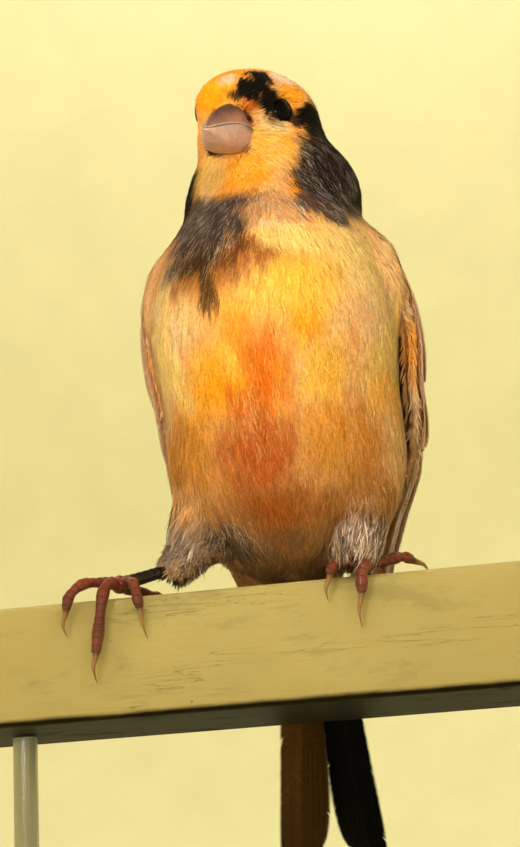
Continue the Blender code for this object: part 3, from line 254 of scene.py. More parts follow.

# Markings, laid on in this order: colour, middle, reach along x, y and z, and strength. The dark_brown one
# beside the wing's leading edge is painted shade.
MARKINGS = (
    ("pink_buff", (0.0, 16.0, 106.0), (22.0, 16.0, 18.0), 0.8),
    ("wing_brown", (0.0, 14.0, 112.0), (10.0, 10.0, 9.0), 0.6),
    ("yellow_orange", (0.0, 18.0, 74.0), (14.0, 12.0, 14.0), 0.8),
    ("black", (1.5, 3.0, 130.0), (18.0, 11.0, 12.0), 1.0),
    ("black", (12.4, -8.0, 132.5), (5.2, 8.5, 8.8), 1.0),
    ("black", (12.0, -11.0, 125.5), (6.2, 11.5, 8.6), 1.0),
    ("black", (-13.0, -9.0, 127.0), (4.6, 6.8, 7.0), 1.0),
    ("black", (13.4, -2.5, 127.0), (5.4, 6.6, 8.4), 0.95),
    ("tan", (0.5, -16.0, 73.0), (24.0, 16.0, 11.0), 0.85),
    ("gold_buff", (16.5, -16.0, 110.5), (5.5, 10.0, 7.5), 0.8),
    ("gold_buff", (-15.5, -18.0, 98.0), (5.5, 9.0, 12.0), 0.85),
    ("gold_buff", (19.0, -11.0, 93.0), (4.0, 8.0, 12.0), 0.7),
    # Painted shade: this dark patch beside the wing's leading edge stands for the shadow in the gap between
    # wing and breast.
    ("dark_brown", (20.9, -4.4, 97.0), (1.5, 2.6, 5.5), 0.5),
    ("yellow", (7.6, -25.0, 103.8), (8.6, 7.0, 5.8), 0.9),
    ("dusty_pink", (1.5, -27.0, 106.0), (3.0, 3.0, 1.8), 0.4),
    ("dusty_pink", (13.6, -19.5, 86.5), (4.5, 5.0, 3.0), 0.5),
    ("yellow", (10.6, -21.2, 90.4), (4.6, 4.0, 4.0), 0.8),
    ("yellow", (-6.0, -24.2, 92.5), (3.4, 4.0, 3.2), 0.85),
    ("bright_orange", (-6.7, -22.9, 89.8), (3.8, 4.0, 3.4), 0.75),
    ("yellow_orange", (18.5, -10.6, 87.7), (3.4, 5.0, 5.0), 0.6),
    ("yellow_orange", (10.2, -19.0, 82.6), (4.0, 4.0, 4.0), 0.6),
    ("yellow_orange", (-15.5, -14.5, 84.5), (3.4, 5.0, 4.0), 0.5),
    ("wing_buff", (-12.0, -23.1, 99.8), (4.0, 5.0, 5.0), 0.5),
    ("deep_orange", (1.4, -25.3, 93.2), (4.2, 4.5, 5.0), 0.85),
    ("deep_orange", (0.4, -22.3, 85.8), (5.0, 4.5, 4.6), 0.85),
    ("rust_orange", (-1.3, -22.4, 85.4), (3.4, 4.0, 3.6), 0.4),
    ("rust_orange", (-0.3, -20.5, 79.0), (6.0, 4.5, 5.6), 0.9),
    ("rust_orange", (-4.3, -19.4, 76.8), (4.0, 4.0, 4.0), 0.35),
    ("rust_orange", (0.8, -17.0, 72.0), (6.0, 5.0, 4.6), 0.7),
    ("olive_buff", (-13.0, -15.5, 80.5), (5.5, 7.0, 5.5), 0.8),
    ("olive_buff", (13.0, -16.0, 79.5), (6.0, 9.0, 6.5), 0.8),
    ("brown_buff", (2.0, -14.5, 69.0), (15.0, 9.0, 4.6), 0.8),
    ("rust_orange", (1.4, -15.0, 70.0), (5.0, 5.0, 4.0), 0.4),
    ("brown_buff", (14.8, -10.1, 72.3), (4.0, 5.0, 5.0), 0.6),
    ("grey_buff", (-2.0, -8.5, 63.0), (11.0, 12.0, 3.4), 0.85),
    ("down_grey", (-8.6, -9.6, 67.4), (4.8, 5.5, 3.6), 0.9),
    ("smoke", (-17.4, -7.4, 66.0), (5.4, 6.0, 6.0), 0.95),
    ("smoke", (12.6, -9.0, 65.4), (3.4, 4.6, 3.4), 0.75),
    ("grey_brown", (-5.2, -21.4, 117.0), (10.6, 9.5, 7.0), 1.0),
    ("black", (-11.6, -14.6, 121.4), (5.0, 6.0, 5.0), 0.85),
    ("rust", (-4.0, -26.0, 107.4), (8.6, 5.0, 3.4), 0.75),
    ("rust", (1.4, -27.0, 109.6), (6.6, 4.0, 2.4), 0.8),
    ("rust", (-10.5, -24.0, 106.0), (4.6, 5.0, 2.6), 0.6),
    ("dark_brown", (-9.6, -22.5, 110.6), (7.4, 7.0, 4.6), 0.95),
    ("dark_brown", (-6.4, -26.2, 104.2), (3.0, 3.6, 5.0), 0.9),
    ("dark_brown", (-1.6, -27.0, 109.6), (3.4, 3.0, 2.2), 0.6),
    ("tan", (4.0, -23.6, 117.4), (5.0, 4.6, 4.4), 0.75),
    ("gold_buff", (8.6, -23.6, 112.4), (6.0, 5.0, 3.0), 0.7),
    ("grey_brown", (12.2, -18.4, 119.4), (5.8, 6.6, 3.6), 0.95),
    ("bright_orange", (-5.5, -19.8, 140.5), (4.2, 3.3, 4.0), 0.95),
    ("pink_white", (-2.6, -20.5, 144.3), (1.8, 2.0, 1.4), 0.4),
    ("bright_yellow", (4.2, -17.1, 132.1), (3.9, 3.4, 4.2), 0.9),
    ("bright_orange", (-0.8, -19.0, 126.5), (5.6, 4.5, 5.1), 1.0),
    ("pale_orange", (-7.6, -14.8, 129.4), (3.6, 5.7, 4.4), 0.8),
    ("pale_yellow", (4.3, -16.2, 136.6), (3.2, 3.4, 1.7), 0.8),
    ("black", (2.0, -17.6, 145.8), (2.2, 4.4, 3.2), 1.0),
    ("black", (1.0, -20.2, 141.6), (2.4, 2.6, 2.5), 1.0),
    ("black", (-1.2, -20.8, 140.7), (2.0, 1.8, 1.1), 0.9),
    ("black", (4.6, -17.4, 140.6), (3.0, 3.6, 3.0), 1.0),
    ("black", (2.6, -18.4, 142.8), (1.7, 2.6, 2.0), 1.0),
    ("black", (2.6, -18.7, 139.6), (2.0, 2.0, 1.3), 0.85),
    ("black", (9.6, -10.4, 139.4), (2.7, 4.0, 3.0), 1.0),
    ("black", (7.8, -12.8, 139.4), (2.0, 2.2, 2.2), 0.95),
    ("bright_orange", (7.0, -13.2, 143.8), (1.8, 4.8, 2.8), 0.9),
    ("pink_white", (5.6, -12.0, 147.0), (2.0, 3.7, 1.3), 0.6),
    ("rust_orange", (0.9, -19.8, 138.6), (1.3, 1.0, 1.2), 0.8),
    ("black", (4.4, -16.0, 137.3), (2.0, 2.2, 1.2), 0.45),
)

# Where the feathers' tips are frosted pale: middle, reach and strength.
FROSTED = (
    ((0.0, -20.0, 96.0), (26.0, 22.0, 20.0), 0.6, "gold_buff"),
    ((0.0, 8.0, 98.0), (28.0, 12.0, 24.0), 0.5, "pink_white"),
    ((0.0, -16.0, 74.0), (26.0, 22.0, 12.0), 0.5, "dusty_pink"),
    ((-16.0, -16.0, 98.0), (6.0, 9.0, 14.0), 0.75, "pink_white"),
    ((17.0, -13.0, 98.0), (6.0, 9.0, 16.0), 0.75, "pink_white"),
    ((-6.0, -10.5, 67.0), (5.0, 5.0, 4.0), 0.6, "pink_white"),
    ((-7.5, -21.0, 116.5), (9.0, 12.0, 8.0), 0.95, "rose_grey"),
    ((5.0, -23.0, 117.0), (6.0, 6.0, 5.0), 0.75, "pink_white"),
    ((10.5, -15.0, 122.0), (6.0, 9.0, 7.0), 0.95, "rose_grey"),
    ((14.0, -14.0, 114.0), (9.0, 10.0, 6.0), 0.5, "pink_white"),
    ((12.5, -10.0, 128.0), (6.0, 9.0, 8.0), 0.75, "rose_grey"),
    ((-0.5, -19.0, 127.5), (8.0, 6.0, 8.0), 0.55, "cream"),
    ((6.0, -15.0, 132.5), (5.0, 6.0, 4.4), 0.35, "cream"),
    ((-15.2, -8.0, 70.0), (6.0, 8.0, 6.0), 0.7, "pink_white"),
    ((13.2, -10.0, 67.0), (4.0, 6.0, 4.0), 0.55, "pink_white"),
)
CRISP = ("black", "grey_brown", "dark_brown")


def unit(vector):
    vector = np.asarray(vector, float)
    return vector / np.linalg.norm(vector)


def units(vectors):
    return vectors / np.maximum(np.linalg.norm(vectors, axis=-1, keepdims=True), 1e-9)


def turns(count):
    """Angles evenly round a circle."""
    return np.linspace(0.0, 2 * math.pi, count, endpoint=False)


def run_along(line):
    """How far along a line each of its points lies."""
    return np.concatenate(((0.0,), np.cumsum(np.linalg.norm(np.diff(line, axis=0), axis=1))))


def stepped(places, values):
    """Values read between an even row of them, at places counted in steps."""
    return np.interp(places, range(len(values)), values)


def ease(value, low, high):
    """A smooth rise from 0 at low to 1 at high."""
    t = np.clip((value - low) / (high - low), 0.0, 1.0)
    return t * t * (3.0 - 2.0 * t)


def smooth_min(a, b, width):
    """The lower of two fields, rounded over where they meet."""
    mix = np.clip(0.5 + 0.5 * (b - a) / width, 0.0, 1.0)
    return b + (a - b) * mix - width * mix * (1.0 - mix)


def ellipsoid(points, centre, radii, axes=None):
    """About the distance to an ellipsoid whose radii lie along the rows of axes."""
    local = points - np.asarray(centre, float)
    if axes is not None:
        local = local @ axes.T
    radii = np.asarray(radii, float)
    near = np.linalg.norm(local / radii, axis=-1)
    steep = np.linalg.norm(local / radii**2, axis=-1)
    return near * (near - 1.0) / np.maximum(steep, 1e-9)


def rounded_cone(points, start, end, start_radius, end_radius):
    """About the distance to a ball that slides from start to end and changes size on the way."""
    start, end = np.asarray(start, float), np.asarray(end, float)
    run = end - start
    along = np.clip((points - start) @ run / (run @ run), 0.0, 1.0)
    nearest = start + along[..., None] * run
    return np.linalg.norm(points - nearest, axis=-1) - (start_radius + (end_radius - start_radius) * along)


def head_axes():
    """Rows: the head's left, forward and up directions."""
    yaw, pitch, roll = (math.radians(angle) for angle in (HEAD_YAW, HEAD_PITCH, HEAD_ROLL))
    level = math.cos(pitch)
    forward = np.array((-math.sin(yaw) * level, -math.cos(yaw) * level, math.sin(pitch)))
    level_left = np.array((math.cos(yaw), -math.sin(yaw), 0.0))
    level_up = np.cross(forward, level_left)
    left = math.cos(roll) * level_left + math.sin(roll) * level_up
    return np.array((left, forward, np.cross(forward, left)))


HEAD_AXES = head_axes()


def head_point(local):
    return HEAD_CENTRE + np.asarray(local, float) @ HEAD_AXES


def trunk_axes():
    lean = math.radians(TORSO_LEAN)
    long_way = np.array((0.0, -math.cos(lean), math.sin(lean)))
    return np.array(((1.0, 0.0, 0.0), np.cross(long_way, (1.0, 0.0, 0.0)), long_way))


TRUNK_AXES = trunk_axes()


def flesh(points):
    """The bird's feathered outline from tail root to face, as one blended field, negative inside."""
    points = np.asarray(points, float)
    field = ellipsoid(points, TORSO_CENTRE, TORSO_RADII, TRUNK_AXES)
    field = smooth_min(field, ellipsoid(points, BREAST_CENTRE, BREAST_RADII), TRUNK_BLEND)
    field = smooth_min(field, ellipsoid(points, BELLY_CENTRE, BELLY_RADII), TRUNK_BLEND)
    rump = rounded_cone(points, RUMP_TOP, RUMP_END, RUMP_TOP_RADIUS, RUMP_END_RADIUS)
    field = smooth_min(field, rump, TRUNK_BLEND)
    neck = rounded_cone(points, NECK_LOW, NECK_HIGH, NECK_LOW_RADIUS, NECK_HIGH_RADIUS)
    field = smooth_min(field, neck, NECK_BLEND)
    field = smooth_min(field, ellipsoid(points, RUFF_CENTRE, RUFF_RADII), RUFF_BLEND)
    cranium = ellipsoid(points, head_point(CRANIUM_CENTRE), CRANIUM_RADII, HEAD_AXES)
    throat = ellipsoid(points, head_point(THROAT_CENTRE), THROAT_RADII, HEAD_AXES)
    face = rounded_cone(
        points, head_point(FACE_BACK), head_point(FACE_FRONT), FACE_BACK_RADIUS, FACE_FRONT_RADIUS
    )
    hind = ellipsoid(points, head_point(HIND_CENTRE), HIND_RADII, HEAD_AXES)
    forehead = ellipsoid(points, head_point(FOREHEAD_CENTRE), FOREHEAD_RADII, HEAD_AXES)
    back, front = smooth_min(cranium, hind, FACE_BLEND), smooth_min(throat, face, FACE_BLEND)
    head = smooth_min(smooth_min(back, front, FACE_BLEND), forehead, FACE_BLEND)
    return smooth_min(field, head, HEAD_BLEND)


def body(points):
    """The flesh with the sleeves of feathers over the thighs."""
    field = flesh(points)
    for path in SLEEVES.values():
        for start, end, wide, narrow in zip(path, path[1:], SLEEVE_RADII, SLEEVE_RADII[1:]):
            field = smooth_min(field, rounded_cone(points, start, end, wide, narrow), SLEEVE_BLEND)
    return field


def slope_of(field, points):
    """A field's outward direction, from small differences."""
    step = 0.05
    slope = [field(points + step * axis) - field(points - step * axis) for axis in np.eye(3)]
    return units(np.stack(slope, axis=-1))


def laid_on(field, points, level, rounds=2):
    """Points moved along the field's slope until they lie at a level of it."""
    for _ in range(rounds):
        points = points - slope_of(field, points) * (field(points) - level)[..., None]
    return points


def noise(points, size, seed=0):
    """Smooth random values from -1 to 1 that change over about size millimetres."""
    place = np.asarray(points, float) / size + 41.7 * (seed + 1)
    cell = np.floor(place).astype(np.int64)
    t = place - cell
    t = t * t * (3.0 - 2.0 * t)
    total = 0.0
    for corner in np.ndindex(2, 2, 2):
        key = (cell + corner) @ np.array((73856093, 19349663, 83492791)) + seed * 2654435761
        key = ((key ^ (key >> 13)) * 1274126177) & 0xFFFFFFFF
        value = ((key ^ (key >> 16)) & 0xFFFF) / 32767.5 - 1.0
        total = total + value * np.prod(np.where(corner, t, 1.0 - t), axis=-1)
    return total


def curve_through(points, count):
    """A smooth run of count points through the given ones."""
    points = np.asarray(points, float)
    padded = np.vstack((2 * points[0] - points[1], points, 2 * points[-1] - points[-2]))
    out = []
    for place in np.linspace(0.0, len(points) - 1.0, count):
        index = min(int(place), len(points) - 2)
        t = place - index
        a, b, c, d = padded[index : index + 4]
        square, cube = (2 * a - 5 * b + 4 * c - d) * t**2, (3 * b - a - 3 * c + d) * t**3
        out.append(0.5 * (2 * b + (c - a) * t + square + cube))
    return np.array(out)


def linear(colour):
    """A colour as the eye sees it, turned to the renderer's linear light."""
    share = np.asarray(colour, float) / 255.0
    return np.where(share <= 0.04045, share / 12.92, ((share + 0.055) / 1.055) ** 2.4)


PLUMAGE = {name: linear(colour) for name, colour in PLUMAGE.items()}
TONES = {name: linear(colour) for name, colour in TONES.items()}


def blend(colour, other, share):
    """A colour moved towards another by the share at each place."""
    return colour + (other - colour) * share[..., None]


# Meshes.
def in_scene(name, data):
    made = bpy.data.objects.new(name, data)
    bpy.context.scene.collection.objects.link(made)
    return made


def evaluated(made):
    """The mesh that an object's modifiers make of it. The object itself goes."""
    graph = bpy.context.evaluated_depsgraph_get()
    mesh = bpy.data.meshes.new_from_object(made.evaluated_get(graph))
    bpy.data.objects.remove(made)
    return mesh


def mesh_piece(name, points, triangles, material, tint=None, bake=None, normals=None):
    """A piece made from arrays of points in millimetres and of faces with equally many corners."""
    points, triangles = np.asarray(points, float), np.asarray(triangles, np.int32)
    mesh = bpy.data.meshes.new(name)
    mesh.vertices.add(len(points))
    mesh.vertices.foreach_set("co", (points * 0.001).astype(np.float32).ravel())
    mesh.loops.add(triangles.size)
    mesh.loops.foreach_set("vertex_index", triangles.ravel())
    mesh.polygons.add(len(triangles))
    starts = np.arange(0, triangles.size, triangles.shape[1], dtype=np.int32)
    mesh.polygons.foreach_set("loop_start", starts)
    mesh.update(calc_edges=True)
    mesh.shade_smooth()
    if tint is not None:
        colours = np.ones((len(points), 4), np.float32)
        colours[:, :3] = tint
        mesh.attributes.new("tint", "FLOAT_COLOR", "POINT").data.foreach_set("color", colours.ravel())
    if bake is not None:
        places = np.asarray(bake, np.float32)[triangles.ravel()]
        mesh.uv_layers.new(name="OFBake").data.foreach_set("uv", places.ravel())
    if normals is not None:
        mesh.normals_split_custom_set_from_vertices(normals.tolist())
    mesh.materials.append(material)
    return in_scene(name, mesh)


def on_root(made, slot, *nodes):
    """The piece rides on the part's one body, and stands for these nodes."""
    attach(made, "root")
    if nodes:
        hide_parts(*nodes)
    return made


def tube_faces(rings, sides, loop=False):
    """Quads between neighbouring rings, and between the last and the first where they form a loop."""
    ring, side = np.meshgrid(np.arange(rings if loop else rings - 1), np.arange(sides), indexing="ij")
    low, high, beside = ring * sides, (ring + 1) % rings * sides, (side + 1) % sides
    return np.stack((low + side, low + beside, high + beside, high + side), axis=-1).reshape(-1, 4)


def facing_out(points, triangles, middle=0.0):
    """The triangles of a closed shape, turned so that they face outwards."""
    corners = points[triangles] - middle
    volume = np.einsum("ij,ij->i", corners[:, 0], np.cross(corners[:, 1], corners[:, 2])).sum()
    return triangles if volume > 0 else triangles[:, ::-1]


def closed_tube(rings):
    """Points and triangles of a tube through rings, closed by a fan at each end, faces outwards."""
    rings = np.asarray(rings, float)
    count, sides = rings.shape[:2]
    points = np.vstack((rings.reshape(-1, 3), rings[0].mean(axis=0), rings[-1].mean(axis=0)))
    quads = tube_faces(count, sides)
    side = np.arange(sides)
    following = (side + 1) % sides
    low, high = np.full(sides, count * sides), np.full(sides, count * sides + 1)
    last = (count - 1) * sides
    triangles = np.vstack((
        quads[:, (0, 1, 2)], quads[:, (0, 2, 3)],
        np.stack((low, following, side), axis=-1),
        np.stack((high, last + side, last + following), axis=-1),
    ))
    return points, facing_out(points, triangles)


def sweep_rings(path, radii, sides, flatten=1.0, flat_way=(0.0, 0.0, 1.0)):
    """Rings of changing radius square to a path, squashed along flat_way."""
    path = np.asarray(path, float)
    rings, side = [], None
    angles = turns(sides)[:, None]
    for index, point in enumerate(path):
        along = unit(path[min(index + 1, len(path) - 1)] - path[max(index - 1, 0)])
        if side is None:
            flat = unit(flat_way)
            side = unit(np.cross(along, flat if abs(along @ flat) < 0.9 else (1.0, 0.0, 0.0)))
        side = unit(side - along * (side @ along))
        other = np.cross(along, side)
        rings.append(point + radii[index] * (np.cos(angles) * side + flatten * np.sin(angles) * other))
    return np.array(rings)


def joined(parts):
    """Several sets of points and triangles as one."""
    points, triangles, start = [], [], 0
    for part_points, part_triangles in parts:
        points.append(part_points)
        triangles.append(np.asarray(part_triangles) + start)
        start += len(part_points)
    return np.vstack(points), np.vstack(triangles)


def fused(name, parts, voxel):
    """Overlapping closed shapes melted into one even skin: points in millimetres, and triangles."""
    points, triangles = joined(parts)
    mesh = bpy.data.meshes.new(name)
    mesh.from_pydata((points * 0.001).tolist(), [], triangles.tolist())
    made = in_scene(name, mesh)
    modifier = made.modifiers.new("melt", "REMESH")
    modifier.mode = "VOXEL"
    modifier.voxel_size = voxel * 0.001
    result = evaluated(made)
    result.calc_loop_triangles()
    found = np.zeros(len(result.vertices) * 3, np.float32)
    result.vertices.foreach_get("co", found)
    corners = np.zeros(len(result.loop_triangles) * 3, np.int32)
    result.loop_triangles.foreach_get("vertices", corners)
    bpy.data.meshes.remove(result)
    bpy.data.meshes.remove(mesh)
    return found.reshape(-1, 3).astype(float) * 1000.0, corners.reshape(-1, 3)


def vertex_normals(points, triangles):
    corners = points[triangles]
    normals = np.cross(corners[:, 1] - corners[:, 0], corners[:, 2] - corners[:, 0])
    total = np.zeros_like(points)
    for corner in range(3):
        np.add.at(total, triangles[:, corner], normals)
    return units(total)


# Materials.
def node(tree, kind, inputs=None, **settings):
    """A shader node with its settings and inputs, where an input is a value or another node's output."""
    made = tree.nodes.new(kind)
    for key, value in settings.items():
        setattr(made, key, value)
    for key, value in (inputs or {}).items():
        if isinstance(value, bpy.types.NodeSocket):
            tree.links.new(value, made.inputs[key])
        else:
            made.inputs[key].default_value = value
    return made


def new_finish(name, **values):
    """A material with its shader's plain values set. Returns it, its tree and its shader."""
    made = bpy.data.materials.new(name)
    made.use_nodes = True
    shader = made.node_tree.nodes["Principled BSDF"]
    for key, value in values.items():
        shader.inputs[key.replace("_", " ").title().replace("Ior", "IOR")].default_value = value
    return made, made.node_tree, shader


def object_place(tree, scale=(1.0, 1.0, 1.0), location=(0.0, 0.0, 0.0)):
    """Object coordinates in millimetres, stretched and shifted."""
    place = node(tree, "ShaderNodeTexCoord").outputs["Object"]
    inputs = {"Vector": place, "Scale": tuple(1000.0 * value for value in scale), "Location": location}
    return node(tree, "ShaderNodeMapping", inputs).outputs["Vector"]


def noise_value(tree, place, size, detail=3.0, roughness=0.55):
    """Noise from 0 to 1 whose lumps are about size millimetres."""
    inputs = {"Vector": place, "Scale": 1.0 / size, "Detail": detail, "Roughness": roughness}
    return node(tree, "ShaderNodeTexNoise", inputs).outputs["Fac"]


def between(tree, value, low, high, low_out=0.0, high_out=1.0):
    """A value remapped smoothly from one range to another."""
    inputs = {0: value, 1: low, 2: high, 3: low_out, 4: high_out}
    return node(tree, "ShaderNodeMapRange", inputs, interpolation_type="SMOOTHSTEP").outputs[0]


def mixed(tree, share, first, second):
    """Two colours mixed, where each is a tuple of numbers or a socket."""
    made = node(tree, "ShaderNodeMix", data_type="RGBA")
    for socket, value in ((0, share), (6, first), (7, second)):
        if isinstance(value, bpy.types.NodeSocket):
            tree.links.new(value, made.inputs[socket])
        elif socket == 0:
            made.inputs[0].default_value = value
        else:
            made.inputs[socket].default_value = (*value[:3], 1.0)
    return made.outputs[2]


def maths(tree, operation, first, second=0.0):
    return node(tree, "ShaderNodeMath", {0: first, 1: second}, operation=operation).outputs[0]


def bump(tree, shader, height, distance):
    """Relief of that many millimetres."""
    inputs = {"Height": height, "Distance": distance * 0.001, "Strength": 1.0}
    tree.links.new(node(tree, "ShaderNodeBump", inputs).outputs["Normal"], shader.inputs["Normal"])


def tinted_finish(name, grain, depth, **values):
    """A finish that takes its colour from the piece's own tint, with a fine grain in shade and relief."""
    made, tree, shader = new_finish(name, **values)
    tint = node(tree, "ShaderNodeAttribute", attribute_name="tint").outputs["Color"]
    lumps = noise_value(tree, object_place(tree), grain, detail=2.0)
    shade = between(tree, lumps, 0.25, 0.75, 0.88, 1.1)
    colour = node(tree, "ShaderNodeVectorMath", {0: tint}, operation="SCALE")
    tree.links.new(shade, colour.inputs["Scale"])
    tree.links.new(colour.outputs[0], shader.inputs["Base Color"])
    bump(tree, shader, lumps, depth)
    return made


FEATHER = tinted_finish("feather", 0.5, 0.02, roughness=0.62, specular_ior_level=0.08)
SKIN = tinted_finish("skin", 0.35, 0.05, roughness=0.7, specular_ior_level=0.2)


# The camera and the stage come first, so that every look is at the photo's framing.
def place_camera():
    turn, drop, roll = (math.radians(angle) for angle in (CAMERA_TURN, CAMERA_DROP, CAMERA_ROLL))
    back = np.array((math.sin(turn) * math.cos(drop), -math.cos(turn) * math.cos(drop), -math.sin(drop)))
    right = np.array((math.cos(turn), math.sin(turn), 0.0))
    up = np.cross(back, right)
    rolled_right = math.cos(roll) * right - math.sin(roll) * up
    rolled_up = math.sin(roll) * right + math.cos(roll) * up
    place = (np.array(CAMERA_TARGET) + CAMERA_REACH * back) * 0.001
    data = bpy.data.cameras.new("camera")
    data.lens, data.sensor_width, data.clip_start = CAMERA_LENS, CAMERA_SENSOR, 0.01
    camera = in_scene("camera", data)
    rows = [[rolled_right[i], rolled_up[i], back[i], place[i]] for i in range(3)] + [[0.0, 0.0, 0.0, 1.0]]
    camera.matrix_world = Matrix(rows)
    bpy.context.scene.camera = camera


def soft_light(name, place, target, size, watts, glint=False, spread=180.0):
    """A round lamp. Only the one that glints is mirrored in wet or glossy surfaces."""
    data = bpy.data.lights.new(name, "AREA")
    data.shape, data.size, data.energy, data.spread = "DISK", size, watts, math.radians(spread)
    lamp = in_scene(name, data)
    lamp.visible_glossy = glint
    lamp.location = place
    lamp.rotation_mode = "QUATERNION"
    lamp.rotation_quaternion = (Vector(target) - Vector(place)).to_track_quat("-Z", "Y")


def stage_finish():
    """A matt painted surface with a faint unevenness."""
    made, tree, shader = new_finish("floor", roughness=0.9, specular_ior_level=0.1)
    lumps = noise_value(tree, object_place(tree), 60.0, detail=4.0)
    tone = mixed(tree, lumps, TONES["floor"] * 0.93, TONES["floor"] * 1.07)
    tree.links.new(tone, shader.inputs["Base Color"])
    bump(tree, shader, noise_value(tree, object_place(tree), 1.5), 0.03)
    return made


def make_stage():
    """A pale floor that sweeps up all round into a pale wall."""
    flat, corner = STAGE_RADIUS - STAGE_CORNER, STAGE_CORNER
    profile = [(0.0001, 0.0), (0.2, 0.0), (flat, 0.0)]
    for turn in np.linspace(0.0, math.pi / 2, 12)[1:]:
        profile.append((flat + corner * math.sin(turn), corner - corner * math.cos(turn)))
    profile.append((STAGE_RADIUS, STAGE_HEIGHT))
    angles = turns(STAGE_SIDES)
    across, along = np.cos(angles), np.sin(angles)
    rings = [np.stack((r * across, r * along, np.full(STAGE_SIDES, z)), axis=-1) for r, z in profile]
    points = np.array(rings).reshape(-1, 3) * 1000.0
    mesh_piece("floor", points, tube_faces(len(profile), STAGE_SIDES), stage_finish())


def light_stage():
    world = bpy.data.worlds.new("studio")
    world.use_nodes = True
    background = world.node_tree.nodes["Background"].inputs
    background["Color"].default_value = (1.0, 1.0, 1.0, 1.0)
    background["Strength"].default_value = WORLD_LIGHT
    bpy.context.scene.world = world
    for lamp in LAMPS:
        soft_light(*lamp)
    soft_light(*SPARK, glint=True, spread=SPARK_SPREAD)
    bpy.context.scene.view_settings.view_transform = "Standard"


# Plumage: the colour at any place on the bird, and the lie of the feathers there.
BILL_BASE = head_point((0.0, BILL_ROOT + 1.0, -3.4))
SPINE_LINE = curve_through(SPINE, 90)
SPINE_RUN = run_along(SPINE_LINE)
SPINE_WAY = units(np.gradient(SPINE_LINE, axis=0))


def spine_place(points):
    """Where places lie along the spine and round it, and the spine's direction there."""
    nearest = np.zeros(len(points), int)
    for start in range(0, len(points), 20000):
        chunk = points[start : start + 20000]
        gap = np.linalg.norm(chunk[:, None] - SPINE_LINE[None], axis=-1)
        nearest[start : start + 20000] = gap.argmin(axis=1)
    way = SPINE_WAY[nearest]
    off = points - SPINE_LINE[nearest]
    side = units(np.cross(way, (0.0, -1.0, 0.0)))
    front = np.cross(side, way)
    angle = np.arctan2((off * side).sum(axis=1), (off * front).sum(axis=1))
    ahead = (off * way).sum(axis=1)
    round_off = np.linalg.norm(off - way * ahead[:, None], axis=1)
    end = nearest == len(SPINE_LINE) - 1
    cap = 9.0 * (math.pi / 2 - np.arctan2(round_off, np.maximum(ahead, 0.0)))
    return SPINE_RUN[nearest] + np.where(end, cap, 0.0), angle, way


def lie_at(points, normals):
    """The way the feathers lie: back from the bill over the head, and down from the neck to the tail."""
    _, _, way = spine_place(points)
    from_bill = units(points - BILL_BASE)
    down = -way
    side = (points[:, :1] - 0.4) / 18.0
    height = points[:, 2:3]
    front = ease(-points[:, 1:2], -2.0, 12.0)
    spread = 0.55 * ease(height, 96.0, 112.0) * (1.0 - ease(height, 120.0, 132.0))
    gather = -0.55 * (1.0 - ease(height, 68.0, 92.0)) * front
    down = down + np.array((1.0, 0.0, 0.0)) * side * (spread + gather)
    for path in SLEEVES.values():
        near = rounded_cone(points, path[1], path[3], SLEEVE_RADII[1], SLEEVE_RADII[3])
        share = (1.0 - ease(near, 0.6, 3.2))[:, None]
        down = down * (1.0 - share) + unit(np.subtract(path[3], path[1])) * share
    swirl = noise(points, 9.0, 3)[:, None] * np.cross(normals, down) * 0.16
    away = np.linalg.norm(points - HEAD_CENTRE, axis=1, keepdims=True)
    share = ease(away, 9.0, 19.0)
    flow = from_bill * (1.0 - share) + units(down) * share + swirl
    flow = flow - normals * (flow * normals).sum(axis=1, keepdims=True)
    return units(flow)


def reach_of(points, centre, radii):
    """1 in the middle of a soft spot, falling to 0 at about one and a half times its reach."""
    away = np.linalg.norm((points - centre) / radii, axis=-1)
    return 1.0 - ease(away, 0.55, 1.45)


def plumage(points, streak):
    """The colour of the feathers at places on the bird. Streak is one random number for each place."""
    wander = np.stack([noise(points * (1.0, 1.0, 0.5), 3.4, seed) for seed in (11, 12, 13)], axis=-1)
    fine = np.stack([noise(points * (1.0, 1.0, 0.25), 0.9, seed) for seed in (14, 15, 16)], axis=-1)
    on_trunk = ease(-points[:, 2], -122.0, -112.0)[:, None]
    moved = points + wander * (1.0 + 1.4 * on_trunk) + fine * (0.6 + 0.6 * on_trunk)
    blotch = noise(points * (1.0, 1.0, 0.7), 5.4, 21)
    colour = np.tile(PLUMAGE["buff"], (len(points), 1))
    ground = ease(-points[:, 1], 0.0, 12.0) * ease(points[:, 2], 66.0, 76.0)
    ground = ground * (1.0 - ease(abs(points[:, 0] - 0.5), 10.0, 20.0) * 0.7)
    share = np.clip(ground * (0.66 + 0.6 * blotch), 0.0, 1.0)
    colour = blend(colour, PLUMAGE["yellow_orange"], share)
    for name, centre, radii, strength in MARKINGS:
        share = reach_of(moved, centre, radii)
        if name in CRISP:
            share = ease(share + 0.4 * streak * (share > 0.05) * (1.0 - 0.35 * share), 0.22, 0.78)
        share = np.clip(share * strength * (1.0 + 0.35 * streak * (1.0 - share)), 0.0, 1.0)
        colour = blend(colour, PLUMAGE[name], share)
    return colour


def frosted(tint, points, amount):
    """Colours paled towards the tips by the amount at each place, in patches on the trunk."""
    patch = 0.7 * ease(noise(points * (1.0, 1.0, 0.6), 3.6, 17), -0.5, 0.6) - 0.5
    amount = amount * (1.0 + patch * ease(-points[:, 2], -116.0, -106.0))
    for centre, radii, strength, name in FROSTED:
        tint = blend(tint, PLUMAGE[name], reach_of(points, centre, radii) * strength * amount)
    return tint


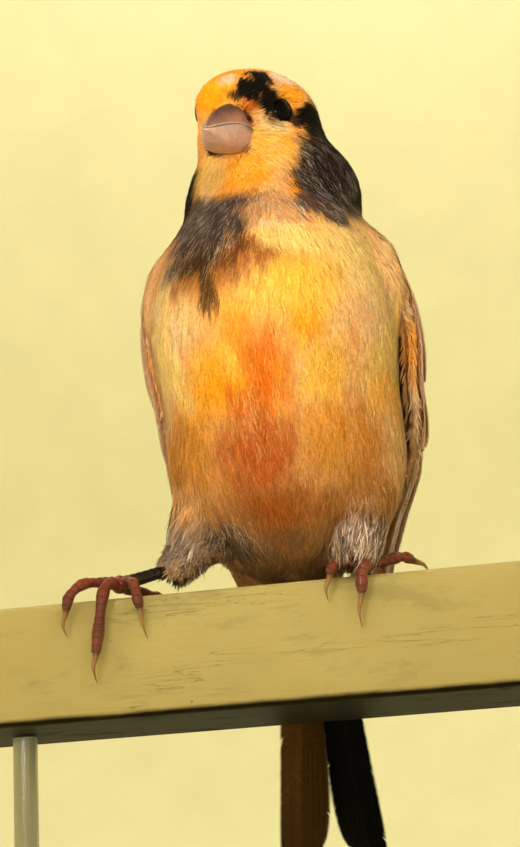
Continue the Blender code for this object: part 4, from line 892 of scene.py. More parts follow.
def shoulder_rise(points):
    """How far the coat stands off the flesh where it lies over the folded wings' shoulders."""
    lead = np.interp(points[..., 2], (91.0, 101.0, 110.0, 118.0), (3.0, -3.0, -8.0, -8.0))
    rise = ease(points[..., 1] - lead, -6.0, 1.0) * ease(points[..., 2], 100.0, 108.0)
    rise = rise * (1.0 - ease(points[..., 2], 115.0, 124.0))
    return SHOULDER_RISE * rise * ease(abs(points[..., 0] - 0.5), 1.0, 9.0)


def coat_base(points):
    """The surface that the coat lies along: the body, raised over the wings' shoulders."""
    return body(points) - shoulder_rise(points)


def hanging(points):
    """How nearly feathers hang free past the end of a thigh's sleeve, and the way they hang there."""
    share, way = np.zeros(len(points)), np.zeros((len(points), 3))
    for path in SLEEVES.values():
        end = np.array(path[3])
        toward = unit(end - path[1])
        near = 1.0 - ease(np.linalg.norm(points - end, axis=1), 4.0, 7.0)
        part = ease((points - end) @ toward, -3.5, -0.5) * near
        share, way = share + part, way + part[:, None] * toward
    return share[:, None], way


def coat_depth(points):
    away = np.linalg.norm(points - BILL_BASE, axis=-1)
    return FACE_DEPTH + (TRUNK_DEPTH - FACE_DEPTH) * ease(away, 6.0, 30.0)


def eye_seat(side):
    """Where one eye meets the side of the head, and the way it looks."""
    start, way = head_point(EYE_PLACE), HEAD_AXES[0] * side
    low, high = 0.0, 30.0
    for _ in range(30):
        middle = (low + high) / 2
        low, high = (middle, high) if flesh(start + way * middle) < 0.0 else (low, middle)
    seat = start + way * low
    return seat, slope_of(flesh, seat[None])[0]


EYES = {"left": eye_seat(1), "right": eye_seat(-1)}


def lid_ring(side):
    """A thin fleshy ring round one eye, beaded all round its edge."""
    seat, look = EYES[side]
    first = unit(np.cross(look, HEAD_AXES[1]))
    second = np.cross(look, first)
    around, across = 96, 12
    turn, lap = np.meshgrid(turns(around), turns(across), indexing="ij")
    tube = LID_TUBE * (1.0 + 0.16 * np.cos(turn * 24.0))
    out = np.cos(turn)[..., None] * first + np.sin(turn)[..., None] * second
    rise = 0.06 * np.cos(2.0 * turn)
    radius = LID_RADIUS + tube * np.cos(lap)
    rings = seat + out * radius[..., None] + look * (tube * np.sin(lap) - 0.05 + rise)[..., None]
    points = rings.reshape(-1, 3)
    quads = tube_faces(around, across, loop=True)
    triangles = np.vstack((quads[:, (0, 1, 2)], quads[:, (0, 2, 3)]))
    return points, facing_out(points, triangles, seat)


def make_skin():
    """One skin from the tail's root to the face, over both thighs, inside the coat by its depth."""
    lines = []
    lean = math.radians(88.0)
    sides = 72
    angles = turns(sides)[:, None]
    stations = [(0, -lean * share) for share in np.linspace(0.96, 0.0, 10)]
    stations += [(index, 0.0) for index in range(1, len(SPINE_LINE) - 1)]
    stations += [(len(SPINE_LINE) - 1, lean * share) for share in np.linspace(0.05, 0.98, 26)]
    for index, tip in stations:
        way = SPINE_WAY[index]
        side = unit(np.cross(way, (0.0, -1.0, 0.0)))
        front = np.cross(side, way)
        rays = (np.cos(angles) * front + np.sin(angles) * side) * math.cos(tip) + way * math.sin(tip)
        low, high = np.zeros(sides), np.full(sides, 45.0)
        for _ in range(18):
            middle = (low + high) / 2
            inside = flesh(SPINE_LINE[index] + rays * middle[:, None]) < 0.0
            low, high = np.where(inside, middle, low), np.where(inside, high, middle)
        lines.append(SPINE_LINE[index] + rays * low[:, None])
    parts = [closed_tube(lines)]
    for path in SLEEVES.values():
        line = curve_through(path, 14)
        radii = np.interp(np.linspace(0.0, 3.0, 14), range(4), SLEEVE_RADII)
        parts.append(closed_tube(sweep_rings(line, radii, 20)))
    points, triangles = fused("skin", parts, 0.55)
    for _ in range(3):
        points = laid_on(body, points, -coat_depth(points), 1)
    return points, triangles


SKIN_POINTS, SKIN_TRIANGLES = make_skin()
SKIN_NORMALS = vertex_normals(SKIN_POINTS, SKIN_TRIANGLES)


def show_skin():
    random = np.random.default_rng(SEED)
    tint = plumage(SKIN_POINTS + SKIN_NORMALS * 1.2, random.uniform(-1.0, 1.0, len(SKIN_POINTS))) * 0.9
    points, triangles = SKIN_POINTS, SKIN_TRIANGLES
    for side in EYES:
        ring, faces = lid_ring(side)
        points, triangles = joined(((points, triangles), (ring, faces)))
        lid = np.tile(TONES["lid"], (len(ring), 1))
        beads = random.uniform(0.75, 1.3, (len(ring), 1))
        tint = np.vstack((tint, lid * beads))
    made = mesh_piece("skin", points, triangles, SKIN, tint)
    on_root(made, "plumage", "head", "neck", "torso", "thigh_left", "thigh_right")


# Coat: feathers of fine closed blades that fan out from a shaft.
def blades(paths, across, up, half_width, thickness):
    """Closed three-sided blades, flat side out, along paths of a few points. Each ends in a point."""
    count, rows = paths.shape[:2]
    rings = rows - 1
    base, way, out = paths[:, :rings], across[:, :rings], up[:, :rings]
    wide = half_width[:, :rings, None]
    ring = np.stack((base + way * wide, base - way * wide, base - out * thickness), axis=2)
    points = np.concatenate((ring.reshape(count, rings * 3, 3), paths[:, -1:]), axis=1)
    faces = [(0, 1, 2)]
    for row in range(rings - 1):
        low, high = row * 3, row * 3 + 3
        for i, j in ((0, 1), (1, 2), (2, 0)):
            faces += [(low + i, high + i, high + j), (low + i, high + j, low + j)]
    tip, low = rings * 3, (rings - 1) * 3
    faces += [(low, tip, low + 1), (low + 1, tip, low + 2), (low + 2, tip, low)]
    stride = rings * 3 + 1
    triangles = np.array(faces)[None] + (np.arange(count) * stride)[:, None, None]
    return points.reshape(-1, 3), triangles.reshape(-1, 3), rings


def per_vertex(values, rings):
    """Values for each row of each blade, repeated for the blade's own points."""
    body_rows = np.repeat(values[:, :rings], 3, axis=1)
    return np.concatenate((body_rows, values[:, rings : rings + 1]), axis=1).reshape(-1, *values.shape[2:])


def sampled(line, share):
    """Values part of the way along each feather's own line."""
    steps = line.shape[1] - 1
    place = np.clip(share, 0.0, 1.0) * steps
    low = np.minimum(place.astype(int), steps - 1)
    t = (place - low)[..., None]
    rows = np.arange(len(line)).reshape(-1, *([1] * (share.ndim - 1)))
    return line[rows, low] * (1.0 - t) + line[rows, low + 1] * t


def shafts(roots, length, steps=6):
    """Each feather's own line over the body: its points, the way across it, and out of it."""
    points = laid_on(coat_base, roots, 0.0)
    line, out, across = [], [], []
    for step in range(steps + 1):
        normals = slope_of(coat_base, points)
        lie = lie_at(points, normals)
        share, way = hanging(points)
        lie = units(lie * (1.0 - share) + way)
        line.append(points)
        out.append(normals)
        across.append(np.cross(lie, normals))
        free = points + lie * (length / steps)[:, None]
        points = laid_on(coat_base, free, 0.0, 1)
        points = points + (free - points) * share
        over_rail = abs(points[:, 1]) < RAIL_SIZE[1] / 2 + 0.6
        points[over_rail, 2] = np.maximum(points[over_rail, 2], RAIL_TOP + 0.4)
    return np.stack(line, axis=1), np.stack(across, axis=1), np.stack(out, axis=1)


def fan(random, line, across, out, length, width, barbs, rows, depth, lift, barb_width):
    """The barbs of many feathers: their paths, the ways across and out, half widths, each row's share of
    the barb, and which barbs are fine."""
    count = len(line)
    place = np.linspace(-1.0, 1.0, barbs)[None] + random.normal(0.0, 0.9 / barbs, (count, barbs))
    start = random.uniform(0.0, 0.46, (count, barbs))
    end = start + random.uniform(0.42, 0.56, (count, barbs)) * (1.0 - 0.18 * abs(place))
    t = np.linspace(0.0, 1.0, rows)
    share = start[..., None] + np.minimum(end - start, 1.0 - start)[..., None] * t
    splay = random.normal(0.0, 0.07, (count, barbs, 1)) * length[:, None, None]
    sideways = (place * width[:, None] / 2)[..., None] * (0.45 + 0.55 * t) + splay * (t - 0.3)
    fine = random.uniform(0.0, 1.0, (count, barbs, 1)) < FINE_SHARE
    layer = random.normal(0.0, 0.03, (count, barbs, 1)) + 0.06 * fine
    loose = 1.0 + 2.2 * (random.uniform(0.0, 1.0, (count, barbs, 1)) < 0.02)
    sunk = -depth[:, None, None] * 0.75 * (1.0 - ease(t, 0.0, 0.5))
    height = sunk + (lift[:, None, None] * loose) * t**2.2 + layer * ease(t, 0.1, 0.6)
    ways, outs = sampled(across, share), sampled(out, share)
    paths = sampled(line, share) + ways * sideways[..., None] + outs * height[..., None]
    taper = np.interp(t, (0.0, 0.3, 0.75, 1.0), (0.6, 1.0, 0.75, 0.2))
    half = barb_width[:, None, None] / 2 * taper * random.uniform(0.8, 1.2, (count, barbs, 1))
    half = half * np.where(fine, FINE_WIDTH, BROAD_WIDTH)
    along = np.broadcast_to(t, share.shape)
    return paths, ways, outs, half, along, fine


def leaned(random, ways, outs):
    """Outward directions that lean a little to one side, differently for each barb, for a fine sheen."""
    lean = random.normal(0.0, SHEEN_LEAN, (*outs.shape[:2], 1, 1))
    return units(outs + ways * lean)


def over_eye(paths):
    """True for barbs that would cross an eye."""
    crossing = np.zeros(paths.shape[:2], bool)
    for seat, look in EYES.values():
        off = paths - seat
        deep = off @ look
        flat = np.linalg.norm(off - look * deep[..., None], axis=-1)
        crossing |= ((flat < EYE_OPENING) & (abs(deep) < 4.0)).any(axis=-1)
    return crossing


def barb_piece(name, slot, random, barbs, tint, bake, keep=slice(None)):
    """Barbs, given as paths, ways, outs and half widths, as one piece with its tint and bake places."""
    paths, ways, outs, _ = barbs
    flat, rows = paths.shape[0] * paths.shape[1], paths.shape[2]

    def flattened(values):
        return values.reshape(flat, rows, *values.shape[3:])[keep]

    points, triangles, rings = blades(*(flattened(values) for values in barbs), BARB_DEPTH)
    tint = per_vertex(np.clip(tint, 0.0, 1.0).reshape(flat, rows, 3)[keep], rings)
    normals = per_vertex(flattened(leaned(random, ways, outs)), rings)
    return on_root(mesh_piece(name, points, triangles, FEATHER, tint, bake, normals), slot)


def feather_coat(name, roots, length, width, barbs, barb_width, lift):
    """A piece of coat: feathers rooted in the skin, tinted like it, with the skin's unwrap for the bake."""
    random = np.random.default_rng(SEED + len(name) * 31 + len(roots))
    rows, rings = COAT_ROWS, COAT_ROWS - 1
    line, across, out = shafts(roots, length)
    depth = coat_depth(roots)
    paths, ways, outs, half, along, fine = fan(
        random, line, across, out, length, width, barbs, rows, depth, lift, barb_width
    )
    count = len(roots)
    keep = ~over_eye(paths).ravel()
    streak = random.uniform(-1.0, 1.0, (count, barbs, 1)) * 0.75
    streak = streak + random.uniform(-1.0, 1.0, (count, 1, 1)) * 0.4
    looked = (paths * 0.5 + paths[:, :, -1:] * 0.5).reshape(-1, 3)
    streaks = np.broadcast_to(streak, along.shape).ravel()
    tint = plumage(looked, streaks)
    shade = random.normal(0.97, 0.05, (count, 1, 1)) * random.normal(1.0, 0.14, (count, barbs, 1))
    tint = tint * np.broadcast_to(shade, along.shape).reshape(-1, 1)
    patch = noise(looked * (1.0, 1.0, 0.5), 2.4, 71)
    pale = np.broadcast_to(np.where(fine, 1.0, 0.15), along.shape).ravel()
    amount = ease(along, 0.15, 0.8).ravel() * ease(streaks * 0.9 + patch * 0.6, -0.2, 0.6) * pale
    tint = frosted(tint, looked, amount)
    low = (1.0 - ease(along, 0.0, 0.5)).ravel()[:, None] * 0.06
    tint = tint * (1.0 - low)
    run, angle, _ = spine_place(roots)
    u = (angle / (2 * math.pi) + 0.5) * 0.99 + 0.004
    v = 0.005 + run / (SPINE_RUN[-1] + 15.0) * 0.98
    across_share = np.tile(np.arange(barbs) / barbs, count)[:, None]
    patch_u = np.repeat(u, barbs)[:, None] + BAKE_PATCH * (across_share - 0.5)
    corner = np.append(np.tile((0.0, 1.0, 0.5), rings), 0.5) * BAKE_PATCH / barbs
    patch_v = np.repeat(v, barbs)[:, None] + BAKE_PATCH * (along.reshape(count * barbs, rows) - 0.5)
    rows_v = np.concatenate((np.repeat(patch_v[:, :rings], 3, axis=1), patch_v[:, -1:]), axis=1)
    bake = np.stack((patch_u + corner[None], rows_v), axis=-1)[keep].reshape(-1, 2)
    barb_piece(name, "plumage", random, (paths, ways, outs, half), tint, bake, keep)


def scatter(random, spacing_at):
    """Places on the skin where feathers grow, no two nearer than the spacing there."""
    corners = SKIN_POINTS[SKIN_TRIANGLES]
    first, second, third = corners.transpose(1, 0, 2)
    area = np.linalg.norm(np.cross(second - first, third - first), axis=1) / 2
    spacing = spacing_at(corners.mean(axis=1))
    weight = area / spacing**2
    picked = random.choice(len(area), size=ROOT_TRIES, p=weight / weight.sum())
    a, b = random.uniform(0.0, 1.0, (2, ROOT_TRIES))
    flip = a + b > 1.0
    a, b = np.where(flip, 1.0 - a, a), np.where(flip, 1.0 - b, b)
    first, second, third = first[picked], second[picked], third[picked]
    places = first + (second - first) * a[:, None] + (third - first) * b[:, None]
    places = places[~bare(places)]
    gaps = spacing_at(places)
    cell = float(gaps.max())
    grid, kept = {}, []
    keys = np.floor(places / cell).astype(int)
    around = list(itertools.product((-1, 0, 1), repeat=3))
    for index in range(len(places)):
        x, y, z = keys[index]
        p, gap = places[index], gaps[index]
        near = [other for i, j, k in around for other in grid.get((x + i, y + j, z + k), ())]
        if near:
            away = places[near] - p
            if (np.einsum("ij,ij->i", away, away) < gap * gap).any():
                continue
        grid.setdefault((x, y, z), []).append(index)
        kept.append(index)
    return places[kept]


def bare(points):
    """True at the eyes and under the bill's root, where no feather grows."""
    near_eye = np.zeros(len(points), bool)
    for seat, look in EYES.values():
        off = points - seat
        flat = off - look * (off @ look)[:, None]
        near_eye |= (np.linalg.norm(flat, axis=1) < LID_RADIUS + 0.1) & (np.linalg.norm(off, axis=1) < 4.0)
    local = (points - HEAD_CENTRE) @ HEAD_AXES.T
    across = abs(local[:, 0]) / (BILL_HALF_WIDTH - 0.3)
    middle, tall = (CULMEN_UP + CHIN_UP) / 2, (CULMEN_UP - CHIN_UP) / 2 - 0.5
    up = abs(local[:, 2] - middle) / tall
    in_bill = (local[:, 1] > BILL_ROOT - 1.0) & (across**2 + up**2 < 1.0)
    return near_eye | in_bill


def make_coat():
    """Feathers from the face to the rump, smallest at the bill."""
    random = np.random.default_rng(SEED)

    def away_from_bill(points):
        return np.linalg.norm(points - BILL_BASE, axis=-1)

    def spacing_at(points):
        return np.interp(away_from_bill(points), ROOT_STEPS, ROOT_SPACING)

    roots = scatter(random, spacing_at)
    roots = roots[np.lexsort((roots[:, 2], roots[:, 1]))]
    away = away_from_bill(roots)
    length = np.interp(away, COAT_STEPS, COAT_LENGTHS) * random.uniform(0.85, 1.15, len(roots))
    width = np.interp(away, COAT_STEPS, COAT_WIDTHS)
    barb_width = np.interp(away, COAT_STEPS, COAT_BARB_WIDTHS)
    lift = np.interp(away, COAT_STEPS, COAT_LIFTS) * random.uniform(0.3, 1.5, len(roots))
    loose = ease(roots[:, 2], 76.0, 68.0) * (abs(roots[:, 0] - 0.5) > 9.0)
    length = length * (1.0 - 0.84 * loose)
    lift = lift + 0.3 * loose * random.uniform(0.2, 1.2, len(roots))
    front, left, low = roots[:, 1] < -4.0, roots[:, 0] > 0.5, roots[:, 2] < BREAST_LOW
    face, trunk = away < FACE_END, away >= NECK_END
    head = ~face & (away < HEAD_END)
    neck = (away >= HEAD_END) & ~trunk
    pieces = {
        "face": (face, HEAD_BARBS),
        "head": (head, HEAD_BARBS),
        "neck_left": (neck & left, BACK_BARBS),
        "neck_right": (neck & ~left, BACK_BARBS),
        "breast_left": (trunk & front & left & ~low, FRONT_BARBS),
        "breast_right": (trunk & front & ~left & ~low, FRONT_BARBS),
        "belly_left": (trunk & front & left & low, FRONT_BARBS),
        "belly_right": (trunk & front & ~left & low, FRONT_BARBS),
        "mantle": (trunk & ~front & ~low, BACK_BARBS),
        "rump": (trunk & ~front & low, BACK_BARBS),
    }
    for name, (own, barbs) in pieces.items():
        feather_coat(f"coat_{name}", roots[own], length[own], width[own], barbs, barb_width[own], lift[own])


# Wings and tail: stiff feathers, each a shaft with barbs laid side by side.
def grid_at(grid, u, v):
    """A grid's values between its points, for places from 0 to 1 both ways."""
    row = np.clip(u, 0.0, 1.0) * (grid.shape[0] - 1)
    column = np.clip(v, 0.0, 1.0) * (grid.shape[1] - 1)
    i = np.minimum(row.astype(int), grid.shape[0] - 2)
    j = np.minimum(column.astype(int), grid.shape[1] - 2)
    s, t = (row - i)[..., None], (column - j)[..., None]
    low = grid[i, j] * (1 - t) + grid[i, j + 1] * t
    high = grid[i + 1, j] * (1 - t) + grid[i + 1, j + 1] * t
    return low * (1 - s) + high * s


def wing_sheet(side):
    """One wing's inner face as a grid against the flesh, and the way out of it at each point."""
    lead, trail = curve_through(WING_LEADING, WING_ROWS), curve_through(WING_TRAILING, WING_ROWS)
    places = np.linspace(0.0, len(WING_CAMBER) - 1.0, WING_ROWS)
    camber, hug, opening, bulge = (
        stepped(places, values)[:, None, None] for values in (WING_CAMBER, WING_HUG, WING_OPEN, WING_BULGE)
    )
    v = np.linspace(0.0, 1.0, WING_COLUMNS)[None, :, None]
    sheet = lead[:, None] + (trail - lead)[:, None] * v
    sheet = sheet + unit((1.0, 0.55, 0.1)) * camber * 4.0 * v * (1.0 - v)
    if side < 0:
        sheet = sheet * (-1.0, 1.0, 1.0) + (2.0 * WING_MIDDLE, 0.0, 0.0)
    for _ in range(4):
        short = (WING_CLEAR - flesh(sheet))[..., None]
        sheet = sheet + slope_of(flesh, sheet) * np.where(short > 0.0, short, short * hug)
    opened = opening * (1.0 - v) ** 2 + bulge * v / BULGE_AT * np.exp(1.0 - v / BULGE_AT)
    sheet = sheet + np.array((side, -0.35, 0.0)) * opened * (1.0 if side > 0 else 0.4)
    out = units(np.cross(np.gradient(sheet, axis=1), np.gradient(sheet, axis=0)))
    return sheet, out * side * np.sign(out[..., :1].mean())


def wing_shell(sheet, out, rows=60, sides=48):
    """The wing's fleshy core as rings round it, from shoulder towards the tip, and the way out of them."""
    us = np.linspace(0.0, WING_CORE_END, rows)
    turn = turns(sides)
    v = 0.5 - 0.5 * np.cos(turn)
    lift = np.where(turn < math.pi, np.sqrt(np.abs(np.sin(turn))), -0.12 * np.abs(np.sin(turn)))
    thickness = stepped(us / WING_CORE_END * (len(WING_CORE) - 1), WING_CORE)
    close = np.sqrt(1.0 - 0.9 * (1.0 - np.clip(us * 9.0, 0.0, 1.0)) ** 2)
    u, v = np.broadcast_arrays(us[:, None], v[None])
    base, normal = grid_at(sheet, u, v), units(grid_at(out, u, v))
    shell = base + normal * ((thickness * close)[:, None] * lift[None])[..., None]
    around = np.roll(shell, -1, axis=1) - np.roll(shell, 1, axis=1)
    ways = units(np.cross(around, np.gradient(shell, axis=0)))
    outward = ((shell - shell.mean(axis=1, keepdims=True)) * ways).sum(axis=-1).mean()
    return shell, ways * np.sign(outward)


def vane_widths(share):
    """A stiff feather's half width along it, as a share: narrow root, even middle, rounded tip."""
    grow = 0.5 + 0.5 * np.clip(share / 0.35, 0.0, 1.0)
    close = np.sqrt(np.clip(1.0 - np.clip((share - 0.76) / 0.245, 0.0, 1.0) ** 2, 0.0, 1.0))
    return grow * np.maximum(close, 0.12)


def stiff_feathers(name, random, line, ways, outs, width, outer_share, gap, colours):
    """A piece of stiff feathers: a shaft each, with barbs as blades on both sides of it.

    Line, ways and outs run along each feather. Outer_share is the part of the width on the +way side, gap
    is from barb to barb, and colours are each feather's centre and edge."""
    parts, tints, places = [], [], []
    t = np.array((0.0, 0.5, 1.0))
    for index in range(len(line)):
        run = run_along(line[index])
        length = run[-1]
        count = int(length / gap)
        centre, edge = colours[index]
        for way, part in ((1.0, outer_share), (-1.0, 1.0 - outer_share)):
            root = np.linspace(0.01, 0.985, count) + random.normal(0.0, 0.08 / count, count)
            reach = width * part
            ahead = np.minimum(reach * BARB_TILT / length, 0.9 * (1.0 - root) + 0.01)
            split = 1.0 - 0.10 * (random.uniform(0.0, 1.0, count) < 0.06)
            share = root[:, None] + (ahead * split)[:, None] * t**1.15
            sideways = way * reach * vane_widths(share[:, -1:]) * t * random.uniform(0.95, 1.0, (count, 1))
            block = [np.repeat(array[index][None], count, axis=0) for array in (line, ways, outs)]
            spine, across, out = (sampled(array, share) for array in block)
            sag = -0.02 * sideways**2 + 0.05 * t
            paths = spine + across * sideways[..., None] + out * sag[..., None]
            half = np.full((count, 3), gap * 0.74) * (1.0, 1.0, 0.6)
            wide = np.cross(units(np.gradient(paths, axis=1)), out)
            points, faces, rings = blades(paths, wide, out, half, VANE_DEPTH)
            shade = random.normal(1.0, 0.06, (count, 1, 1))
            tint = blend(centre, edge, ease(abs(sideways) / reach, 0.25, 0.95)) * shade
            tint = blend(tint, edge, ease(share, 0.93, 1.0) * 0.6)
            parts.append((points, faces))
            tints.append(per_vertex(np.clip(tint, 0.0, 1.0), rings))
            row = (index + 0.5 + 0.45 * sideways / reach) / len(line)
            spread = np.stack((share * 0.9 + 0.05, row), axis=-1)
            first = spread[:, :1]
            spread = first + (spread - first) * BAKE_PATCH * 8.0
            places.append(per_vertex(spread, rings))
        shaft = line[index] + outs[index] * VANE_DEPTH
        radii = np.interp(run / length, (0.0, 1.0), (0.24, 0.06))
        points, faces = closed_tube(sweep_rings(shaft, radii, SHAFT_SIDES, flat_way=outs[index][0]))
        parts.append((points, faces))
        tints.append(np.tile(edge * 0.7 + centre * 0.3, (len(points), 1)))
        along = np.append(np.repeat(run / length, SHAFT_SIDES), (0.0, 1.0))
        row = np.full(len(points), (index + 0.5) / len(line))
        places.append(np.stack((along * 0.9 + 0.05, row), axis=-1))
    points, faces = joined(parts)
    return mesh_piece(name, points, faces, FEATHER, np.vstack(tints), np.vstack(places))


def wing_lines(sheet, out, count, roots, tips, heights, steps=12):
    """The shafts of one tier, leaning over their neighbours: their points, and the ways across and out."""
    share = np.linspace(0.0, 1.0, steps + 1)
    order = np.linspace(0.0, 1.0, count)[:, None]
    root, tip = (np.array(first) + (np.array(last) - first) * order for first, last in (roots, tips))
    u = root[:, :1] + (tip[:, :1] - root[:, :1]) * share
    v = root[:, 1:] + (tip[:, 1:] - root[:, 1:]) * share
    up = units(grid_at(out, u, v))
    line = grid_at(sheet, u, v) + up * (heights[0] + (heights[1] - heights[0]) * share)[None, :, None]
    along = units(np.gradient(line, axis=1))
    way = grid_at(sheet, u, v + 0.06) - grid_at(sheet, u, v - 0.06)
    way = units(way - along * (way * along).sum(axis=-1, keepdims=True))
    return line, units(way - up * WING_SLOPE), units(up + way * WING_SLOPE)


def small_coverts(random, shell, normals, count, reach, around):
    """Short soft feathers on the wing's core: their shafts, the ways across and out, and their lengths."""
    u = random.uniform(*reach, count)
    v = random.uniform(*around, count) % 1.0
    length = np.interp(u, (0.0, 1.0), (3.4, 6.0)) * random.uniform(0.85, 1.15, count)
    ring = np.concatenate((shell, shell[:, :1]), axis=1)
    ways = np.concatenate((normals, normals[:, :1]), axis=1)
    share = np.linspace(0.0, 1.0, 7)
    run = np.linalg.norm(np.diff(shell[:, 0], axis=0), axis=1).sum()
    places = u[:, None] + share * (length / run)[:, None]
    across = np.repeat(v[:, None], 7, axis=1)
    line = grid_at(ring, places, across)
    out = units(grid_at(ways, places, across))
    along = units(np.gradient(line, axis=1))
    return line, np.cross(along, out), out, length


def wing_colour(points, streak):
    """The colour of the wing's small feathers, with an orange flush at the bend and painted shade towards
    the back.
    """
    colour = np.tile(PLUMAGE["wing_buff"], (len(points), 1))
    mottle = noise(points, 2.2, 31) * 0.5 + 0.5
    colour = blend(colour, PLUMAGE["pink_buff"], mottle * 0.5)
    for centre in WING_FLUSHES:
        share = reach_of(points, centre, FLUSH_REACH) * 0.7
        colour = blend(colour, PLUMAGE["yellow_orange"], np.clip(share * (1.0 + 0.3 * streak), 0.0, 1.0))
    # Painted shade: up to 35% browner from y 4 to y 16, towards the back of the wing.
    return blend(colour, PLUMAGE["wing_brown"], ease(points[:, 1], 4.0, 16.0) * 0.35)


def soft_feathers(name, slot, random, line, across, out, length, barbs, rows, colour_at, places,
                  spread=0.5, barb_width=0.26):
    """Short feathers on given shafts as a piece of coat."""
    count = len(line)
    depth, lift, barb_width = (np.full(count, value) for value in (0.3, 0.2, barb_width))
    paths, ways, outs, half, along, _ = fan(
        random, line, across, out, length, length * spread, barbs, rows, depth, lift, barb_width
    )
    flat = count * barbs
    streaks = np.broadcast_to(random.uniform(-1.0, 1.0, (count, barbs, 1)), along.shape).ravel()
    tint = colour_at((paths * 0.6 + paths[:, :, -1:] * 0.4).reshape(-1, 3), streaks)
    tint = tint * np.broadcast_to(random.normal(1.0, 0.1, (count, barbs, 1)), along.shape).reshape(-1, 1)
    patch = np.stack((
        np.tile(np.linspace(-0.5, 0.5, barbs), count)[:, None] + np.zeros((flat, rows)),
        along.reshape(flat, rows) - 0.5,
    ), axis=-1)
    bake = per_vertex(np.repeat(places, barbs, axis=0)[:, None] + patch * BAKE_PATCH, rows - 1)
    barb_piece(name, slot, random, (paths, ways, outs, half), tint, bake)


def make_wing(name, side):
    """A folded wing: a core, small coverts over its shoulder and four tiers of stiff feathers."""
    random = np.random.default_rng(SEED + side)
    sheet, out = wing_sheet(side)
    shell, shell_ways = wing_shell(sheet, out)
    points, faces = closed_tube(shell)
    # Painted shade: the core is darkened to 0.45 of the wing's colour, easing to 0.9 below z 86, so that it
    # reads dark in the gaps between wing and body.
    shade = 0.45 + 0.45 * ease(-points[:, 2], -96.0, -86.0)
    tint = wing_colour(points, np.zeros(len(points))) * shade[:, None]
    core = mesh_piece(f"{name}_core", points, faces, SKIN, tint)
    on_root(core, "flight_feathers", name)
    for tier, (count, roots, tips, heights, width, leading, gap, (centre, edge)) in WING_TIERS.items():
        lines = wing_lines(sheet, out, count, roots, tips, heights)
        colours = [
            (PLUMAGE[centre] * random.uniform(0.85, 1.1), PLUMAGE[edge] * random.uniform(0.92, 1.05))
            for _ in range(count)
        ]
        made = stiff_feathers(f"{name}_{tier}", random, *lines, width, leading, gap, colours)
        on_root(made, "flight_feathers")
    for kind, (count, reach, around) in SMALL_COVERTS.items():
        feathers = small_coverts(random, shell, shell_ways, count, reach, around)
        places = np.stack([random.uniform(0.02, 0.98, count) for _ in range(2)], axis=-1)
        soft_feathers(
            f"{name}_{kind}_coverts", "flight_feathers", random, *feathers, 9, 3, wing_colour, places
        )


def tail_place(along, across, level):
    """A place on the tail: a share of its length, and millimetres across it and out of its upper side."""
    return TAIL_ROOT + TAIL_REACH * along + TAIL_SIDE * across + TAIL_UP * level


def make_tail_feathers(random):
    """Six pairs of stiff feathers, the middle pair uppermost: the left ones black, the right ones brown."""
    first, last, lean, colours = [], [], [], []
    black, brown = PLUMAGE["tail_black"], PLUMAGE["tail_brown"]
    for share in np.arange(TAIL_PAIRS) / (TAIL_PAIRS - 1):
        for way in (1, -1):
            level = 1.3 - 2.4 * share
            root, tip = TAIL_SHIFT + way * (0.8 + 2.1 * share), way * (TAIL_INNER + TAIL_SPREAD * share)
            first.append(tail_place(0.05, root, level))
            last.append(tail_place(TAIL_NOTCH + (1.0 - TAIL_NOTCH) * share, tip, level * 0.9))
            lean.append(way * TAIL_SLOPE)
            colours.append((black, black * 1.5) if way > 0 else (brown * 0.8, brown * 1.25))
    first, last, lean = np.array(first)[:, None], np.array(last)[:, None], np.array(lean)[:, None, None]
    line = first + (last - first) * np.linspace(0.0, 1.0, 15)[None, :, None]
    ways = units(TAIL_SIDE - TAIL_UP * lean) + line * 0.0
    outs = units(TAIL_UP + TAIL_SIDE * lean) + line * 0.0
    made = stiff_feathers(
        "tail_feathers", random, line, ways, outs, TAIL_VANE_WIDTH, 0.5, TAIL_GAP, colours
    )
    on_root(made, "flight_feathers", "tail")


def make_tail():
    """The tail's feathers, and a fleshy core at their roots with soft coverts all round it."""
    random = np.random.default_rng(SEED + 5)
    make_tail_feathers(random)
    angles = turns(32)[:, None]
    shares, widths, depths = np.array(TAIL_CORE).T
    rings = []
    for share in np.linspace(-0.06, shares[-1], 24):
        wide, deep = np.interp(share, shares, widths), np.interp(share, shares, depths)
        ring = np.cos(angles) * (wide, 0.0, 0.0) + np.sin(angles) * TAIL_UP * deep
        rings.append(TAIL_ROOT + TAIL_REACH * share + ring)
    rings = np.array(rings)
    points, faces = closed_tube(rings)
    tint = np.tile(PLUMAGE["grey_buff"] * 0.5, (len(points), 1))
    on_root(mesh_piece("tail_core", points, faces, SKIN, tint), "flight_feathers")
    count = TAIL_COVERT_COUNT
    u, turn = random.uniform(0.0, 0.55, count), random.uniform(0.0, 1.0, count)
    along = unit(TAIL_REACH)
    ring = np.concatenate((rings, rings[:, :1]), axis=1)
    roots = grid_at(ring, u, turn)
    middle = grid_at(np.repeat(rings.mean(axis=1)[:, None], 2, axis=1), u, turn)
    out = units(roots - middle)
    length = random.uniform(*TAIL_COVERT_LENGTHS, count)
    share = np.linspace(0.0, 1.0, 7)[None, :, None]
    line = roots[:, None] + along * length[:, None, None] * share - out[:, None] * 0.9 * share**1.5
    outs = np.repeat(out[:, None], 7, axis=1)
    across = np.cross(np.broadcast_to(along, outs.shape), outs)

    def covert_colour(points, streak):
        upper = ease((points - TAIL_ROOT) @ TAIL_UP, -1.0, 2.0)[:, None]
        return PLUMAGE["grey_buff"] * (1.0 - upper) + PLUMAGE["yellow_orange"] * upper

    places = np.stack((turn * 0.96 + 0.02, u * 0.9 + 0.04), axis=-1)
    soft_feathers(
        "tail_coverts", "plumage", random, line, across, outs, length, 11, 4, covert_colour, places
    )


